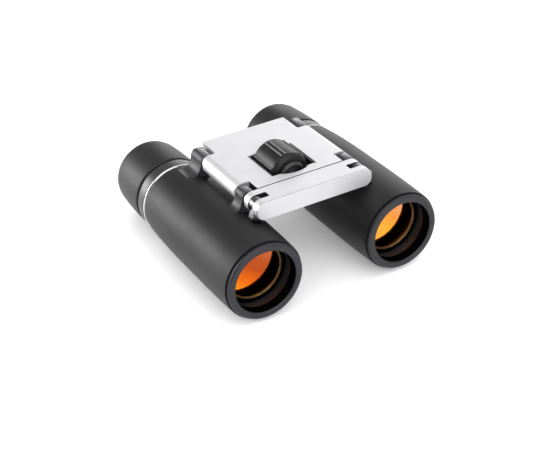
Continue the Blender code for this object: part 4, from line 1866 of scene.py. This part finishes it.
    def collar(self) -> None:
        """The dark collar behind the bright ring."""
        node = Extent.of(self.named("collar"))
        r = node.radius
        profile = [(r - 0.35, node.rear, 0.2), (r, node.rear - 0.5, 0.3), (r, node.front + 0.3, 0.3),
                   (r - 0.3, node.front, 0.1), (14.5, node.front, 0.0), (14.5, node.rear, 0.1)]
        self.turn("eyepiece_collar", "collar", profile, self.eyepiece, COLLAR, "dark_plastic")

    def eye_tube(self) -> None:
        """The eyepiece's tube and its eye lens."""
        node = Extent.of(self.named("eyepiece_tube"))
        glass = Extent.of(self.named("eye_lens"))
        sleeve_rear = node.rear - 8.4
        step = Extent.of(self.named("eyecup")).front - 0.3
        stop = node.front + 5.7
        seat = glass.radius + 0.3
        outside = [(11.6, node.rear, 0.4), (11.6, sleeve_rear, 0.0), (13.6, sleeve_rear, 0.2),
                   (13.6, step, 0.0), (node.radius, step, 0.2), (node.radius, node.front, 0.2)]
        inside = [(12.6, node.front, 0.0), (12.6, stop, 0.0), (seat, stop, 0.0),
                  (seat, node.rear - 1.0, 0.0), (8.3, node.rear - 1.0, 0.15),
                  (8.9, node.rear - 0.4, 0.3), (10.4, node.rear, 0.3)]
        self.turn("eye_tube", "eyepiece_tube", outside + inside, self.eyepiece, BLACK, "black_plastic", 128)
        self.lens(self.named("rear_lens"), glass, 0.8, 0.9, self.eyepiece, GLASS, "clear_glass",
                  self.named("eye_lens"))

    def eyecup(self) -> None:
        """The rubber eyecup, tapering to a soft lip."""
        node = Extent.of(self.named("eyecup"))
        tube = Extent.of(self.named("eyepiece_tube"))
        r = node.radius
        back = node.rear
        outside = [(13.2, back, 0.5), (15.4, back, 2.4), (16.25, back - 3.4, 4.0),
                   (16.75, back - 10.6, 20.0), (r, back - 18.0, 10.0), (r, node.front + 0.4, 0.4),
                   (r - 0.5, node.front, 0.3)]
        inside = [(13.9, node.front, 0.0), (13.9, tube.rear - 8.1, 0.0), (11.9, tube.rear - 8.1, 0.0),
                  (11.9, tube.rear + 0.5, 0.4), (12.5, back - 0.9, 0.8)]
        self.turn("rubber_eyecup", "eyecup", outside + inside, self.eyepiece, EYECUP, "eyecup_rubber",
                  step=8.0)


# ---------------------------------------------------------------------------------------------
# What stays of the frame, and the room
# ---------------------------------------------------------------------------------------------


def dress_inner_nodes() -> None:
    """Give the frame's own inner pieces, which stay as they are, their finishes."""
    finishes = {
        "front_bush": BLACK, "rear_bush": BRASS, "focus_nut": BRASS, "wheel_hub": BLACK,
    }
    for side in Side:
        finishes[f"{side.word}_prism_cup"] = BLACK
        for glass in ("roof_prism", "half_prism", "field_lens"):
            finishes[f"{side.word}_{glass}"] = GLASS
    for name, finish in finishes.items():
        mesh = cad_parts[name].data
        mesh.materials.clear()
        mesh.materials.append(PALETTE[finish])
        log.info("%s keeps its shape with %s", name, finish.name)


@dataclass
class Studio:
    """A pale floor, soft lights and the camera."""

    floor_half: float = 3.0
    floor_level: float = -0.05
    camera_place: Corner = (-0.2275, -0.4129, 0.2978)
    camera_angles: Corner = (-29.089, 31.806, -2.668)
    camera_lens: float = 81.68

    def build(self) -> None:
        """Make the floor, the world, the lights and the camera."""
        self.floor()
        self.world()
        middle = (0.0, 0.0, 0.02)
        for name, spot, size, glow in (
            ("overhead", (-0.05, -0.20, 1.10), (2.2, 2.0), 1.30),
            ("front_fill", (-0.05, -1.10, 0.55), (1.2, 0.8), 2.7),
            ("right_fill", (1.05, -0.10, 0.50), (0.8, 0.8), 1.3),
            ("left_fill", (-1.05, -0.20, 0.55), (0.8, 0.8), 0.3),
            ("left_rear", (-0.65, 0.74, 0.225), (0.5, 0.42), 11.0),
            ("right_rear", (0.64, 0.74, 0.24), (0.6, 0.40), 2.4),
            ("high_rear", (0.50, 0.72, 0.58), (0.55, 0.45), 1.0),
        ):
            self.light(name, spot, middle, size, glow)
        self.camera()

    def floor(self) -> None:
        """The pale floor, with a faint, even glow of its own."""
        work = bmesh.new()
        half = self.floor_half / MM
        corners = ((-half, -half), (half, -half), (half, half), (-half, half))
        work.faces.new([work.verts.new((x, y, self.floor_level)) for x, y in corners])
        floor = as_object("floor", work)
        shader = Shader("pale_floor")
        shader.set(Base_Color=(0.97, 0.97, 0.972), Roughness=0.6, Emission_Color=(1.0, 1.0, 1.0),
                   Emission_Strength=0.17)
        floor.data.materials.append(shader.material)

    def world(self) -> None:
        """An even white surround."""
        world = bpy.data.worlds.new("white_surround")
        world.use_nodes = True
        background = world.node_tree.nodes["Background"]
        background.inputs["Color"].default_value = (1.0, 1.0, 1.0, 1.0)
        background.inputs["Strength"].default_value = 0.28
        bpy.context.scene.world = world

    def light(self, name: str, spot: Corner, target: Corner, size: Point2, glow: float) -> None:
        """Add a soft rectangular light.

        Args:
            name: Its name.
            spot: Where it hangs, in metres.
            target: What it points at.
            size: Its width and height in metres.
            glow: How bright its face is, where a sunlit white floor would be about 1.
        """
        data = bpy.data.lights.new(name, "AREA")
        data.shape = "RECTANGLE"
        data.size, data.size_y = size
        data.energy = glow * math.pi * size[0] * size[1]
        light = bpy.data.objects.new(name, data)
        bpy.context.scene.collection.objects.link(light)
        light.location = spot
        light.rotation_euler = (Vector(target) - Vector(spot)).to_track_quat("-Z", "Y").to_euler()

    def camera(self) -> None:
        """Stand the camera in front, to the left and above."""
        azimuth, elevation, roll = (math.radians(angle) for angle in self.camera_angles)
        back = Vector((math.sin(azimuth) * math.cos(elevation),
                       -math.cos(azimuth) * math.cos(elevation), math.sin(elevation)))
        right = Vector((0.0, 0.0, 1.0)).cross(back).normalized()
        up = back.cross(right)
        tilted_right = right * math.cos(roll) + up * math.sin(roll)
        tilted_up = up * math.cos(roll) - right * math.sin(roll)
        data = bpy.data.cameras.new("camera")
        data.lens = self.camera_lens
        data.sensor_width = 36.0
        data.clip_start = 0.01
        data.clip_end = 50.0
        camera = bpy.data.objects.new("camera", data)
        bpy.context.scene.collection.objects.link(camera)
        axes = Matrix((tilted_right, tilted_up, back)).transposed().to_4x4()
        camera.matrix_world = Matrix.Translation(self.camera_place) @ axes
        bpy.context.scene.camera = camera


def main() -> None:
    """Build the binoculars piece by piece, then the studio round them."""
    logging.basicConfig(level=logging.INFO, format="%(message)s")
    section = BridgeSection()
    Bridge(section).build()
    FrontBridge(section).build()
    FocusWheel().build()
    for side in Side:
        Barrel(side, section).build()
    dress_inner_nodes()
    Studio().build()
    bpy.context.scene.view_settings.view_transform = "Standard"


if __name__ == "__main__":
    main()
